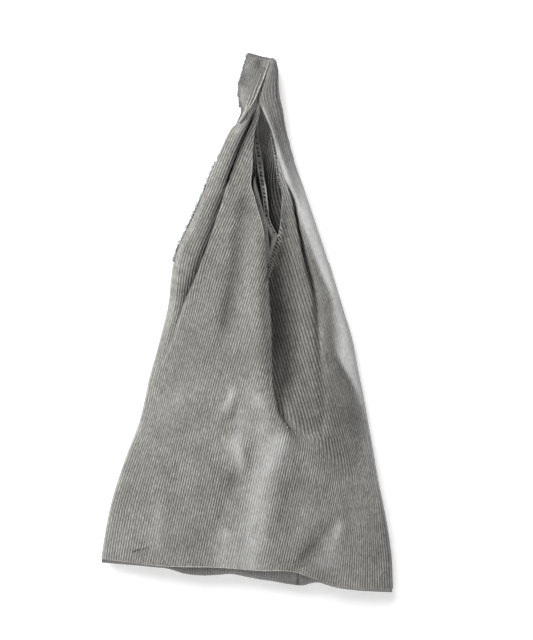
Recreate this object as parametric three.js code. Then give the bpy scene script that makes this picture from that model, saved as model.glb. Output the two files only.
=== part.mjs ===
// A knot bag in wide-rib corduroy, hanging by its two hand loops from a rail.
// Millimetres, +Z up, the front faces -Y. The origin is on the rail's axis, between the loops.
// Heights are given as drops below that axis, the way the bag hangs.

import * as THREE from 'three';

const { clamp, degToRad, lerp, smoothstep } = THREE.MathUtils;

// Cloth, thread and clearances
const CLOTH = 1.6;
const GAP = 0.3;
const SEAM_THICKNESS = 2.4;
const SEAM_ALLOWANCE = 9;
const HEM_CLOTH = 1.2;
const HEM_WIDTH = 9;
const OVERLOCK_RADIUS = 1.3;
const SEAM_ROLL_RADIUS = 1.5;
const TOP_SEAM_HEIGHT = 4;

// How far short of a corner or a bending line a seam, hem or bead stops
const SIDE_SEAM_CLEARANCE = 2.5;
const ARMHOLE_FOOT_CLEARANCE = 8;
const NECK_CLEARANCE = 2.5;

// Drops below the rail, and rises above the armhole's foot and above the base
const LOOPS_PART_DROP = 52;
const NECK_DROP = 120;
const ARMHOLE_DROP = 250;
const MOUTH_FOOT_RISE = 28;
const BELLY_RISE = 178;
const BASE_DROP = 648;

// Widths across the front, and the powers that ease the flare and the loops' taper
const LEFT_LOOP_TOP_WIDTH = 27;
const RIGHT_LOOP_TOP_WIDTH = 13;
const NECK_WIDTH = 99;
const ARMHOLE_WIDTH = 196;
const BASE_WIDTH = 371;
const FLARE_POWER = 1.2;
const LOOP_TAPER_POWER = 1.6;

// Sideways shift of the middle line, because the bag hangs a little askew
const NECK_SHIFT = -8.5;
const ARMHOLE_SHIFT = -14;
const BASE_SHIFT = -19;

// Mouth slit between the two shoulders
const MOUTH_WIDTH = 34;
const LOOPS_GAP = 1.5;
const LOOPS_TOP_X = 8;
const LOOPS_PART_X = 0;
const MOUTH_FOOT_X = 18;

// Depths of the cloth before and behind the plane of the rail: the front bulges, the back hangs nearly flat
const NECK_OPENING = 22;
const NECK_FRONT_DEPTH = 15;
const ARMHOLE_FRONT_DEPTH = 22;
const BELLY_FRONT_DEPTH = 28;
const BASE_FRONT_DEPTH = 23;
const NECK_BACK_DEPTH = 12.5;
const ARMHOLE_BACK_DEPTH = 10;
const BELLY_BACK_DEPTH = 11;
const BASE_BACK_DEPTH = 10;
const BACK_FLAT_POWER = 0.6;

// The base panel is flat, lower at the right and lower at the back, in degrees
const BASE_TILT = 5.8;
const BASE_PITCH = 19;

// Rail that the loops hang on
const RAIL_DIAMETER = 16;
const RAIL_CLEARANCE = 0.5;

// Soft folds: each follows a straight line down the cloth, and a height below zero is a hollow.
// Places and widths across are shares of the base width, drops of the base drop, heights of the belly depth.
// The deep fold starts just under the foot of the mouth.
const MOUTH_DROP = ARMHOLE_DROP - MOUTH_FOOT_RISE;
const HOLLOW_CLEARANCE = 1.6;
const HOLLOW_TOP = (MOUTH_DROP + HOLLOW_CLEARANCE) / BASE_DROP;
const FOLD_FADE = 0.085;
const HOLLOW_FADE = 0.035;
// Each is [x at its top, x at its foot, drop of its top, drop of its foot, fade at its top, width, height].
const FRONT_FOLDS = [
  [-0.032, -0.226, 0.108, 0.478, FOLD_FADE, 0.035, -0.21],
  [0.065, 0.238, 0.2, 0.66, FOLD_FADE, 0.035, -0.21],
  [-0.051, -0.043, HOLLOW_TOP, 0.67, HOLLOW_FADE, 0.04, 0.32],
  [0.066, 0.079, HOLLOW_TOP, 0.71, HOLLOW_FADE, 0.037, -0.8],
  [0.106, 0.145, 0.385, 0.7, FOLD_FADE, 0.03, -0.52],
  [0.256, 0.418, 0.46, 0.99, FOLD_FADE, 0.045, 0.36],
  [0.085, -0.012, 0.7, 1.02, FOLD_FADE, 0.052, 0.17],
  [-0.09, -0.165, 0.74, 0.98, FOLD_FADE, 0.034, -0.12],
  [-0.05, -0.03, 0.61, 0.71, HOLLOW_FADE, 0.05, 0.12],
  [-0.25, -0.375, 0.385, 0.7, FOLD_FADE, 0.035, -0.25],
];
const BACK_FOLDS = [
  [-0.05, -0.189, 0.36, 0.71, FOLD_FADE, 0.04, -0.16],
  [0.036, 0.108, 0.36, 0.74, FOLD_FADE, 0.042, -0.05],
  [-0.162, -0.081, 0.74, 0.95, FOLD_FADE, 0.06, -0.11],
];

// Grids of the cloth sheets, as columns and rows, and steps along the beads
const PANEL_GRID = [36, 18];
const BASE_GRID = [20, 2];
const SHOULDER_GRID = [10, 8];
const STRAP_GRID = [4, 14];
const TOP_SEAM_GRID = [3, 2];
const BOTTOM_SEAM_STEPS = 36;
const ARMHOLE_STEPS = 10;
const LOOP_STEPS = 28;
const BEAD_SEGMENTS = 3;

const FRONT = -1;
const BACK = 1;
const LEFT = -1;
const RIGHT = 1;
const QUARTER_TURN = Math.PI / 2;
const SEAM_EDGE = SEAM_THICKNESS / 2 + GAP;
const LOOP_RADIUS = RAIL_DIAMETER / 2 + RAIL_CLEARANCE + HEM_CLOTH + GAP + CLOTH;

// Smooth curve through rising stops, each a [drop, value] pair, level beyond the ends
function smoothRun(stops) {
  const drops = stops.map(([drop]) => drop);
  const curve = new THREE.CubicInterpolant(drops, stops.map(([, value]) => value), 1);
  return (drop) => curve.evaluate(clamp(drop, drops[0], drops[drops.length - 1]))[0];
}

const middleShift = smoothRun([
  [NECK_DROP, NECK_SHIFT],
  [ARMHOLE_DROP, ARMHOLE_SHIFT],
  [BASE_DROP, BASE_SHIFT],
]);

// Distance of the cloth from the plane of the rail, at the middle of a section
function depthRun(neck, armhole, belly, base) {
  return smoothRun([
    [NECK_DROP, neck],
    [ARMHOLE_DROP, armhole],
    [BASE_DROP - BELLY_RISE, belly],
    [BASE_DROP, base],
  ]);
}

const frontDepth = depthRun(NECK_FRONT_DEPTH, ARMHOLE_FRONT_DEPTH, BELLY_FRONT_DEPTH, BASE_FRONT_DEPTH);
const backDepth = depthRun(NECK_BACK_DEPTH, ARMHOLE_BACK_DEPTH, BELLY_BACK_DEPTH, BASE_BACK_DEPTH);

const mouthMiddle = smoothRun([
  [0, LOOPS_TOP_X],
  [LOOPS_PART_DROP, LOOPS_PART_X],
  [MOUTH_DROP, MOUTH_FOOT_X],
]);

// Shares of the way from one drop to another, held between 0 and 1
function share(drop, from, to) {
  return clamp((drop - from) / (to - from), 0, 1);
}

function bodyWidth(drop) {
  const shoulder = lerp(NECK_WIDTH, ARMHOLE_WIDTH, share(drop, NECK_DROP, ARMHOLE_DROP));
  const flare = 1 - Math.pow(1 - share(drop, ARMHOLE_DROP, BASE_DROP), FLARE_POWER);
  return shoulder + (BASE_WIDTH - ARMHOLE_WIDTH) * flare;
}

// Distance of the cloth from that plane at the two edges of a section: sewn together below the armholes
function edgeDepth(drop) {
  return lerp(NECK_OPENING / 2, SEAM_EDGE, share(drop, NECK_DROP, ARMHOLE_DROP));
}

function foldHeight(folds, x, drop) {
  const wide = x / BASE_WIDTH;
  const low = drop / BASE_DROP;
  const shares = folds.map(([topX, footX, topDrop, footDrop, fadeIn, width, height]) => {
    const along = (low - topDrop) / (footDrop - topDrop);
    const offset = (wide - lerp(topX, footX, along)) / width;
    const start = smoothstep(low, topDrop, topDrop + fadeIn);
    const end = 1 - smoothstep(low, footDrop - FOLD_FADE, footDrop);
    return height * Math.exp(-offset * offset) * start * end;
  });
  return BELLY_FRONT_DEPTH * shares.reduce((sum, height) => sum + height, 0);
}

// Places across a section run from -1 at the left edge to 1 at the right edge
function placeX(across, drop) {
  return middleShift(drop) + across * bodyWidth(drop) / 2;
}

function acrossAt(x, drop) {
  return clamp((x - middleShift(drop)) / (bodyWidth(drop) / 2), -1, 1);
}

// Depth of the outer face: half an oval, flattened at the back, with the folds on it
function outerDepth(side, across, drop) {
  const crown = Math.sqrt(1 - across * across);
  const middle = side === FRONT ? frontDepth(drop) : backDepth(drop);
  const bulge = side === FRONT ? crown : Math.pow(crown, BACK_FLAT_POWER);
  const folds = side === FRONT ? FRONT_FOLDS : BACK_FOLDS;
  const fold = foldHeight(folds, placeX(across, drop), drop) * crown;
  return side * (lerp(edgeDepth(drop), middle, bulge) + fold);
}

function basePlane(x, y) {
  const tilt = Math.tan(degToRad(BASE_TILT)) * (x - BASE_SHIFT);
  return -BASE_DROP - tilt - Math.tan(degToRad(BASE_PITCH)) * y;
}

function mouthEdge(hand, drop) {
  const opened = MOUTH_WIDTH * Math.sin(Math.PI * share(drop, LOOPS_PART_DROP, MOUTH_DROP));
  return mouthMiddle(drop) + hand * Math.max(LOOPS_GAP, opened) / 2;
}

// Top line of the body: from each armhole's foot up to the foot of the mouth
function shoulderDrop(across) {
  const foot = acrossAt(MOUTH_FOOT_X, MOUTH_DROP);
  const near = across < foot ? (across + 1) / (foot + 1) : (1 - across) / (1 - foot);
  return lerp(ARMHOLE_DROP, MOUTH_DROP, near);
}

// Body cloth below the shoulders: a runs round the half section, b from the base to the top line
function bodyFace(side) {
  return (a, b) => {
    const across = Math.sin((2 * a - 1) * QUARTER_TURN);
    const drop = lerp(BASE_DROP, shoulderDrop(across) + GAP, b);
    const x = placeX(across, drop);
    const y = outerDepth(side, across, drop);
    const lift = (basePlane(x, y) + BASE_DROP) * (1 - b);
    return new THREE.Vector3(x, y, lift - drop);
  };
}

// Shoulder cloth beside the mouth: a runs from the armhole edge to the mouth edge, b upwards
function shoulderFace(side, hand) {
  return (a, b) => {
    const mouthDrop = lerp(MOUTH_DROP, NECK_DROP, b);
    const drop = lerp(lerp(ARMHOLE_DROP, MOUTH_DROP, a), NECK_DROP, b);
    const across = lerp(hand, acrossAt(mouthEdge(hand, mouthDrop), mouthDrop), a);
    return new THREE.Vector3(placeX(across, drop), outerDepth(side, across, drop), -drop);
  };
}

// Hand loop: a runs from the outer edge to the mouth edge, and s from the front neck (-1)
// over the rail (0) to the back neck (1). The bend round the rail takes this share of s.
const BEND_SHARE = 0.4;

function loopFace(hand) {
  const topWidth = hand === LEFT ? LEFT_LOOP_TOP_WIDTH : RIGHT_LOOP_TOP_WIDTH;
  const outerTop = mouthEdge(hand, 0) + hand * topWidth;
  const outerNeck = placeX(hand, NECK_DROP);
  return (a, s) => {
    const side = s < 0 ? FRONT : BACK;
    const away = Math.abs(s);
    const drop = (NECK_DROP - GAP) * Math.max(0, away - BEND_SHARE) / (1 - BEND_SHARE);
    const turn = QUARTER_TURN * Math.max(0, 1 - away / BEND_SHARE);
    const outer = lerp(outerTop, outerNeck, Math.pow(drop / NECK_DROP, LOOP_TAPER_POWER));
    const x = lerp(outer, mouthEdge(hand, drop), a);
    const neckDepth = outerDepth(side, acrossAt(x, NECK_DROP), NECK_DROP);
    const depth = lerp(side * LOOP_RADIUS, neckDepth, drop / NECK_DROP);
    return new THREE.Vector3(x, depth * Math.cos(turn), LOOP_RADIUS * Math.sin(turn) - drop);
  };
}

// Strip of a face beside its mouth edge, one hem wide
function hemFace(face) {
  return (a, b) => {
    const width = face(0, b).distanceTo(face(1, b));
    return face(1 - (1 - a) * HEM_WIDTH / width, b);
  };
}

// Normal of a face, by small steps that stay inside its range
const NORMAL_STEP = 1e-3;

function faceNormal(face, a, b, range) {
  const [lowA, highA] = range.a;
  const [lowB, highB] = range.b;
  const alongA = face(Math.min(highA, a + NORMAL_STEP), b).sub(face(Math.max(lowA, a - NORMAL_STEP), b));
  const alongB = face(a, Math.min(highB, b + NORMAL_STEP)).sub(face(a, Math.max(lowB, b - NORMAL_STEP)));
  return alongA.cross(alongB).normalize();
}

// A closed sheet of cloth of one thickness, some way under a face.
// turn is 1 where a crossed with b points out of the bag, and -1 where it points in.
function clothSheet(face, turn, range, [columns, rows], thickness = CLOTH, under = 0) {
  const points = [];
  for (const depth of [under, under + thickness]) {
    for (let r = 0; r <= rows; r += 1) {
      for (let c = 0; c <= columns; c += 1) {
        const a = lerp(range.a[0], range.a[1], c / columns);
        const b = lerp(range.b[0], range.b[1], r / rows);
        const inward = faceNormal(face, a, b, range).multiplyScalar(-turn * depth);
        points.push(face(a, b).add(inward));
      }
    }
  }
  const stride = columns + 1;
  const layer = stride * (rows + 1);
  const triangles = [];
  const quad = (p, q, r, s) => triangles.push([p, q, r], [p, r, s]);
  for (let r = 0; r < rows; r += 1) {
    for (let c = 0; c < columns; c += 1) {
      const p = r * stride + c;
      quad(p, p + 1, p + 1 + stride, p + stride);
      quad(p + layer, p + stride + layer, p + 1 + stride + layer, p + 1 + layer);
    }
  }
  const rim = [];
  for (let c = 0; c < columns; c += 1) rim.push(c);
  for (let r = 0; r < rows; r += 1) rim.push(r * stride + columns);
  for (let c = columns; c > 0; c -= 1) rim.push(rows * stride + c);
  for (let r = rows; r > 0; r -= 1) rim.push(r * stride);
  rim.forEach((p, i) => {
    const q = rim[(i + 1) % rim.length];
    quad(q, p, p + layer, q + layer);
  });
  if (turn < 0) triangles.forEach((triangle) => triangle.reverse());
  const geometry = new THREE.BufferGeometry().setFromPoints(points);
  geometry.setIndex(triangles.flat());
  geometry.computeVertexNormals();
  return geometry;
}

// A round bead along a path
function bead(points, radius, steps) {
  const section = new THREE.Shape().absarc(0, 0, radius, 0, 2 * Math.PI);
  const extrudePath = new THREE.CatmullRomCurve3(points);
  const options = { steps, curveSegments: BEAD_SEGMENTS, bevelEnabled: false, extrudePath };
  return new THREE.ExtrudeGeometry(section, options);
}

// Bead of overlock thread beside a sheet's armhole edge, between two places along it
function overlock(face, from, to, steps) {
  const points = [];
  for (let i = 0; i <= steps; i += 1) {
    const b = lerp(from, to, i / steps);
    const edge = face(0, b);
    const outward = edge.clone().sub(face(0.5, b)).normalize();
    points.push(edge.add(outward.multiplyScalar(OVERLOCK_RADIUS + GAP)));
  }
  return bead(points, OVERLOCK_RADIUS, steps);
}

const CORDUROY = { color: '#8b8881', roughness: 0.95, metalness: 0 };
const CORDUROY_SHADE = { color: '#7d7a74', roughness: 0.95, metalness: 0 };
const SEAM_CLOTH = { color: '#a5a299', roughness: 0.95, metalness: 0 };
const OVERLOCK_THREAD = { color: '#4b4c52', roughness: 0.85, metalness: 0 };

const WHOLE = { a: [0, 1], b: [0, 1] };
const SIDES = [['front', FRONT], ['back', BACK]];
const HANDS = [['left', LEFT], ['right', RIGHT]];

const bag = new THREE.Group();

function addPiece(name, geometry, finish) {
  const mesh = new THREE.Mesh(geometry, new THREE.MeshStandardMaterial(finish));
  mesh.name = name;
  bag.add(mesh);
}

// Front and back panels of the body
function addPanels() {
  for (const [word, side] of SIDES) {
    addPiece(`${word}_panel`, clothSheet(bodyFace(side), -side, WHOLE, PANEL_GRID), CORDUROY);
  }
}

// Flat base panel, lens-shaped between the two bottom edges, just clear of their square-cut rims
function addBottomPanel() {
  const seat = GAP + CLOTH * Math.tan(degToRad(BASE_PITCH));
  const underside = (a, b) => {
    const across = Math.sin((2 * a - 1) * QUARTER_TURN);
    const x = placeX(across, BASE_DROP);
    const y = lerp(outerDepth(FRONT, across, BASE_DROP), outerDepth(BACK, across, BASE_DROP), b);
    return new THREE.Vector3(x, y, basePlane(x, y) - seat - CLOTH);
  };
  addPiece('bottom_panel', clothSheet(underside, -1, WHOLE, BASE_GRID), CORDUROY_SHADE);
}

// Side seams: both allowances pressed together, standing into the bag from each side edge
function addSideSeams() {
  const end = SIDE_SEAM_CLEARANCE / (BASE_DROP - ARMHOLE_DROP);
  const face = bodyFace(FRONT);
  for (const [word, hand] of HANDS) {
    const allowance = (a, b) => {
      const edge = face(hand === LEFT ? 0 : 1, lerp(end, 1 - end, b));
      const inset = hand === LEFT ? a : 1 - a;
      return new THREE.Vector3(edge.x - hand * inset * SEAM_ALLOWANCE, -SEAM_THICKNESS / 2, edge.z);
    };
    const rows = PANEL_GRID[1];
    addPiece(`${word}_side_seam`, clothSheet(allowance, 1, WHOLE, [1, rows], SEAM_THICKNESS), SEAM_CLOTH);
  }
}

// Rolled seams where the front and back panels meet the base, ending just short of the corners
const CORNER_SHARE = 0.06;

function addBottomSeams() {
  for (const [word, side] of SIDES) {
    const face = bodyFace(side);
    const points = [];
    for (let i = 0; i <= BOTTOM_SEAM_STEPS; i += 1) {
      const a = lerp(CORNER_SHARE, 1 - CORNER_SHARE, i / BOTTOM_SEAM_STEPS);
      const outward = faceNormal(face, a, 0, WHOLE).multiplyScalar(-side * (SEAM_ROLL_RADIUS + 2 * GAP));
      points.push(face(a, 0).add(outward));
    }
    addPiece(`${word}_bottom_seam`, bead(points, SEAM_ROLL_RADIUS, BOTTOM_SEAM_STEPS), SEAM_CLOTH);
  }
}

// Shoulders: the cloth beside the mouth, its turned hem and the overlocked armhole edge
function addShoulder(handWord, hand) {
  const height = ARMHOLE_DROP - NECK_DROP;
  const foot = ARMHOLE_FOOT_CLEARANCE / height;
  const neck = 1 - NECK_CLEARANCE / height;
  const hemRange = { a: [0, 1], b: [foot, 1] };
  const hemGrid = [1, SHOULDER_GRID[1]];
  for (const [word, side] of SIDES) {
    const face = shoulderFace(side, hand);
    const turn = side * hand;
    const hem = clothSheet(hemFace(face), turn, hemRange, hemGrid, HEM_CLOTH, CLOTH + GAP);
    const edge = overlock(face, foot, neck, ARMHOLE_STEPS);
    addPiece(`${handWord}_shoulder_${word}`, clothSheet(face, turn, WHOLE, SHOULDER_GRID), CORDUROY);
    addPiece(`${handWord}_mouth_hem_${word}`, hem, SEAM_CLOTH);
    addPiece(`${handWord}_armhole_overlock_${word}`, edge, OVERLOCK_THREAD);
  }
}

// Hand loops: front and back straps joined by a seam over the rail, a hem and an overlocked edge
function addLoop(handWord, hand) {
  const face = loopFace(hand);
  const turn = -hand;
  const seam = BEND_SHARE * SEAM_EDGE / (LOOP_RADIUS * QUARTER_TURN);
  const neck = 1 - NECK_CLEARANCE / NECK_DROP;
  const frontRange = { a: [0, 1], b: [-1, -seam] };
  const backRange = { a: [0, 1], b: [seam, 1] };
  const loopRange = { a: [0, 1], b: [-1, 1] };
  const topSeam = (a, b) => {
    const z = LOOP_RADIUS - CLOTH + b * (CLOTH + TOP_SEAM_HEIGHT);
    return new THREE.Vector3(face(a, 0).x, hand * SEAM_THICKNESS / 2, z);
  };
  const hem = clothSheet(hemFace(face), turn, loopRange, [1, 2 * STRAP_GRID[1]], HEM_CLOTH, CLOTH + GAP);
  addPiece(`${handWord}_strap_front`, clothSheet(face, turn, frontRange, STRAP_GRID), CORDUROY);
  addPiece(`${handWord}_strap_back`, clothSheet(face, turn, backRange, STRAP_GRID), CORDUROY);
  const cap = clothSheet(topSeam, 1, WHOLE, TOP_SEAM_GRID, SEAM_THICKNESS);
  addPiece(`${handWord}_strap_top_seam`, cap, SEAM_CLOTH);
  addPiece(`${handWord}_strap_hem`, hem, SEAM_CLOTH);
  addPiece(`${handWord}_strap_overlock`, overlock(face, -neck, neck, LOOP_STEPS), OVERLOCK_THREAD);
}

addPanels();
addBottomPanel();
addSideSeams();
addBottomSeams();
for (const [word, hand] of HANDS) {
  addShoulder(word, hand);
  addLoop(word, hand);
}

export default bag;
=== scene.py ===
# %% [markdown]
# # A corduroy knot bag
#
# The bag hangs empty from its two hand loops, and all its charm is in the way the ribbed cloth folds. A
# plain sheet with a striped texture could stand for it, but stripes swim where cloth folds. So this
# lesson builds each piece of cloth from its ribs: every column of the mesh is part of one rib, and no rib
# breaks up.

import bpy
import numpy as np
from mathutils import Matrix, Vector


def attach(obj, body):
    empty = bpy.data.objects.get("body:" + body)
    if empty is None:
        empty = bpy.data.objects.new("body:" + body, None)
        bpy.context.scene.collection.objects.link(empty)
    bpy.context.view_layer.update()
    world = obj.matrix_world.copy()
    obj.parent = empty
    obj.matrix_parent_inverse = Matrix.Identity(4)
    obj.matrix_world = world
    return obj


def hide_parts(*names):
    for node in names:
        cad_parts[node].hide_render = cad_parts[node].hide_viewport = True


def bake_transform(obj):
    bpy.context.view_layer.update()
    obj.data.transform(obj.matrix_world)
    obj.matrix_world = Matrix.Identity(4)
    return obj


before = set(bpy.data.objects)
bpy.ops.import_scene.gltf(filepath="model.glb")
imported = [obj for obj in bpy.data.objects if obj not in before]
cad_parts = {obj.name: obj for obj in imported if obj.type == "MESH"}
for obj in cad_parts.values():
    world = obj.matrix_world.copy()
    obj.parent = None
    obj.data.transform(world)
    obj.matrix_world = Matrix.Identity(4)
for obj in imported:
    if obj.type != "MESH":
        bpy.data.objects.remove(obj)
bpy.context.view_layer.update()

# %% [markdown]
# ## Camera
#
# The photograph looks straight at the front. A short lens would swell the middle of the bag, so the
# camera stands far off, and the hem and the loops keep nearly the same scale. The height of the picture
# at the bag fixes the lens.

# %% Camera
VIEW_HEIGHT = 0.8128
VIEW_DISTANCE = 2.6
VIEW_CENTRE = (0.0057, -0.325)
CLOTH_NEAR = 0.015
SENSOR = 24

scene = bpy.context.scene
camera_data = bpy.data.cameras.new("camera")
camera_data.sensor_fit = "VERTICAL"
camera_data.sensor_height = SENSOR
camera_data.lens = SENSOR * VIEW_DISTANCE / VIEW_HEIGHT
camera = bpy.data.objects.new("camera", camera_data)
camera.location = (VIEW_CENTRE[0], -VIEW_DISTANCE - CLOTH_NEAR, VIEW_CENTRE[1])
camera.rotation_euler = (np.pi / 2, 0, 0)
scene.collection.objects.link(camera)
scene.camera = camera
print("lens", round(camera_data.lens, 1), "mm")

# %% [markdown]
# ## Guide lines
#
# Lengths are in millimetres while the cloth is worked out, with x to the right, a drop measured down from
# the origin and a depth towards the viewer. Seams and folds could be drawn as Blender curves. Here a
# guide line is a smooth run through a few measured points, because a function can be asked for its value
# at any drop.


# %% Guide lines
def through(points):
    """A smooth line through (drop, value) points, held level past both ends."""
    p = np.array(points, float)
    d, v = p[:, 0], p[:, 1]
    slope = np.gradient(v, d)

    def run(q):
        q = np.clip(np.asarray(q, float), d[0], d[-1])
        i = np.clip(np.searchsorted(d, q) - 1, 0, len(d) - 2)
        h = d[i + 1] - d[i]
        t = (q - d[i]) / h
        a = v[i] * (1 + 2 * t) * (1 - t) ** 2 + h * slope[i] * t * (1 - t) ** 2
        return a + v[i + 1] * t * t * (3 - 2 * t) + h * slope[i + 1] * t * t * (t - 1)

    return run


def ease(low, high, q):
    """0 below low, 1 above high, smooth between; low may be the greater."""
    t = np.clip((np.asarray(q, float) - low) / (high - low), 0, 1)
    return t * t * (3 - 2 * t)


def grain(a, b, seed):
    """Soft noise from -1 to 1, the same each time."""
    rng = np.random.default_rng(seed)
    total = 0
    for _ in range(5):
        fa, fb = rng.normal(0, 1, 2)
        total = total + np.sin(a * fa + b * fb + rng.uniform(0, 6.28))
    return total / 3.2


print("half way up an ease:", float(ease(0, 1, 0.5)))

# %% [markdown]
# ## Grids
#
# Cloth is a sheet, so each piece is a grid of points with one face between four of them. Modifiers could bend
# a plane into it, but a mesh from computed points keeps every rib where the photograph has it. Named values at
# the points carry ribs, wear, painted highlights and painted shade to the material.


# %% Grids
def grid_faces(rows, columns):
    """Quads of a grid stored row by row, wound to face the viewer."""
    r, c = np.meshgrid(np.arange(rows - 1), np.arange(columns - 1), indexing="ij")
    a = (r * columns + c).ravel()
    return np.stack([a, a + 1, a + columns + 1, a + columns], 1)


def make_mesh(name, points_mm, faces, **values):
    """A mesh object from points (x, depth, drop) in mm, with named values at its points."""
    p = np.asarray(points_mm, float).reshape(-1, 3)
    mesh = bpy.data.meshes.new(name)
    mesh.from_pydata(np.stack([p[:, 0], -p[:, 1], -p[:, 2]], 1) / 1000, [], [tuple(f) for f in faces])
    for key, value in values.items():
        layer = mesh.attributes.new(key, "FLOAT", "POINT")
        layer.data.foreach_set("value", np.broadcast_to(value, p.shape[:1]).astype(np.float32).ravel())
    mesh.polygons.foreach_set("use_smooth", np.ones(len(mesh.polygons), bool))
    obj = bpy.data.objects.new(name, mesh)
    scene.collection.objects.link(obj)
    return obj


print("a grid of 3 rows and 4 columns has", len(grid_faces(3, 4)), "faces")

# %% [markdown]
# ## Outline and seams
#
# These lines are measured on the picture: the two sides of the bag, the hem, the two edges of the mouth
# and the lip of the deep fold under it. The body is a straight piece of cloth as wide as the hem all the
# way up. What the narrow top can't hold disappears into that fold. A curve traced over the picture would
# do as well, but a list of points is easier to correct one at a time.

# %% Outline
LEFT_FOOT, HEM_LEFT_DROP = -204.5, 632.0
RIGHT_FOOT, HEM_RIGHT_DROP = 166.4, 667.0
FOLD_FOOT = 472.0
MOUTH_FOOT = 221.0
ARMHOLE_FOOT = 251.5
NECK = 120.0

left_side = through([
    (-5, -10), (20, -14), (45, -18), (60, -24), (70, -28.5), (75, -32), (80, -38), (86, -42), (97, -47.5),
    (109, -53), (122, -58.5), (160, -73.7), (198, -90.2), (236, -108), (252, -112.4), (274, -115.6),
    (300, -118.1), (350, -129.5), (401, -143.5), (452, -154.9), (503, -174), (554, -190.5), (604, -200.7),
    (633, -205)])
right_side = through([
    (-9, 15), (-4, 17), (8, 19.2), (20, 20.5), (33, 21.8), (46, 23.7), (58, 26.7), (71, 28.6), (84, 31),
    (122, 41), (160, 54.6), (198, 67.3), (236, 80), (274, 91.4), (312, 102.9), (350, 114.3), (389, 121.9),
    (427, 129.5), (477, 138.4), (528, 147.3), (579, 157.5), (629, 164.6), (668, 166.4)])
hem_drop = through([
    (-206, 629), (-168, 632.5), (-119, 637), (-58, 638), (-4, 642), (42, 644.5), (62, 651), (95, 661.5),
    (121, 665), (167, 667)])
mouth_left = through([
    (10, 6), (30, 3), (42, 0), (52, -4), (62, -5.7), (88, -6.7), (113, -9), (137, -11.5), (154, -13),
    (166, -10), (183, -5.7), (202, -0.4), (212, 1.6), (221, 3)])
mouth_right = through([
    (-9, 9), (-4, 8.8), (8, 5), (20, 0), (30, -4.5), (43, -5.8), (55, -1), (71, 5.8), (84, 11.3), (97, 15),
    (118, 18.9), (145, 23), (160, 25.5), (188, 25), (205, 23.5), (221, 20)])
fold_lip = through([
    (221, 3), (236, 4.6), (255, 6.7), (300, 10), (350, 12.2), (390, 13), (421, 16), (447, 24.5), (461, 34),
    (472, 43.5)])
tongue_start = through([
    (221, 20.5), (232, 16), (244, 12.2), (255, 9.4), (264, 6.4), (280, 2.5), (300, 4), (350, 6.7), (400, 9),
    (427, 14), (447, 22), (461, 33), (472, 43.5)])


def left_lip(drop):
    """x of the edge of the left part: the mouth, and below it the lip of the fold."""
    return np.where(drop < MOUTH_FOOT, mouth_left(drop), fold_lip(drop))


print("mouth", round(float(mouth_right(160) - mouth_left(160))), "mm wide at its widest")

# %% [markdown]
# ## Ribs
#
# On the left and along the hem the ribs lean to the right as they climb. Right of the deep fold they lean
# to the left instead, and bend where the two parts meet on the lower right. One straight set of ribs
# would look printed, so there are two families. The place of a rib is its distance from the left side
# seam along the hem, `u`.

# %% Ribs of the left part
RIB = 3.175
LEAN_LEFT = [(60, 0.42), (211, 0.42), (300, 0.31), (427, 0.25), (490, 0.22), (700, 0.22)]
SIDE_REACH = 45

ladder = np.arange(0, 720.0)
lean = np.interp(ladder, *np.array(LEAN_LEFT).T)
climb = np.cumsum(lean[::-1])[::-1]
climb = climb - np.interp(HEM_LEFT_DROP, ladder, climb)


def drift(drop):
    """How far ribs of the left part have moved to the right at this drop, counted from the hem."""
    return np.interp(drop, ladder, climb)


def left_rib(u, drop):
    """x of a rib in the left part."""
    plain = LEFT_FOOT + drift(drop)
    return plain + u + (left_side(drop) - plain) * np.exp(-((u / SIDE_REACH) ** 2))


def left_limit(drop):
    """The last rib of the left part that shows: it ends at the mouth, or turns under the lip of the fold."""
    low = fold_lip(FOLD_FOOT) + drift(drop) - drift(FOLD_FOOT)
    return np.where(drop > FOLD_FOOT, low, left_lip(drop)) - LEFT_FOOT - drift(drop)


CLOTH_WIDTH = RIGHT_FOOT - LEFT_FOOT - drift(HEM_RIGHT_DROP)
U_MOUTH_LEFT = float(left_limit(np.array(MOUTH_FOOT)))
print("cloth", round(CLOTH_WIDTH), "mm wide,", round(CLOTH_WIDTH / RIB), "ribs")

# %% Ribs of the right part
LEAN_RIGHT = 0.31
LEAN_LOW = 0.22
BEND_WIDTH = 12.0
BEND_AT, BEND_RISE = 307.1, 0.731
SPARE_REACH = 70
SLACK = 1 - (LEAN_LOW + LEAN_RIGHT) * BEND_RISE
TONGUE_RIB = 4.1 / SLACK
FLANK_RIB = 2.9 / SLACK
TONGUE_END_X, TONGUE_END_DROP = 60, 300


def bent_rib(u, drop):
    """x of a rib in the right part before it is fitted to the right side."""
    bend = BEND_AT + BEND_RISE * u - drop
    turned = BEND_WIDTH * np.logaddexp(0, bend / BEND_WIDTH)
    return LEFT_FOOT + u + LEAN_LOW * (HEM_LEFT_DROP - drop) - (LEAN_LOW + LEAN_RIGHT) * turned


def right_rib(u, drop):
    """x of a rib in the right part."""
    spare = right_side(drop) - bent_rib(CLOTH_WIDTH, drop)
    return bent_rib(u, drop) + spare * np.exp(-(((CLOTH_WIDTH - u) / SPARE_REACH) ** 2))


u_fine = np.linspace(0, CLOTH_WIDTH, 400)
d_fine = np.linspace(-10, 680, 340)
right_chart = right_rib(u_fine[None, :], d_fine[:, None])
tongue_row = right_chart[np.argmin(np.abs(d_fine - TONGUE_END_DROP))]
U_TONGUE = float(np.interp(TONGUE_END_X, tongue_row, u_fine))


def flank_phase(u):
    """Count of ribs in the right part above the bend, where they lie wide on the tongue of the fold."""
    return np.where(u < U_TONGUE, (u - U_TONGUE) / TONGUE_RIB, (u - U_TONGUE) / FLANK_RIB)


first_shown = []
for row, at in zip(right_chart, d_fine):
    edge = mouth_right(at) if at < MOUTH_FOOT else tongue_start(at)
    first_shown.append(np.interp(edge, row, u_fine))


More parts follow.
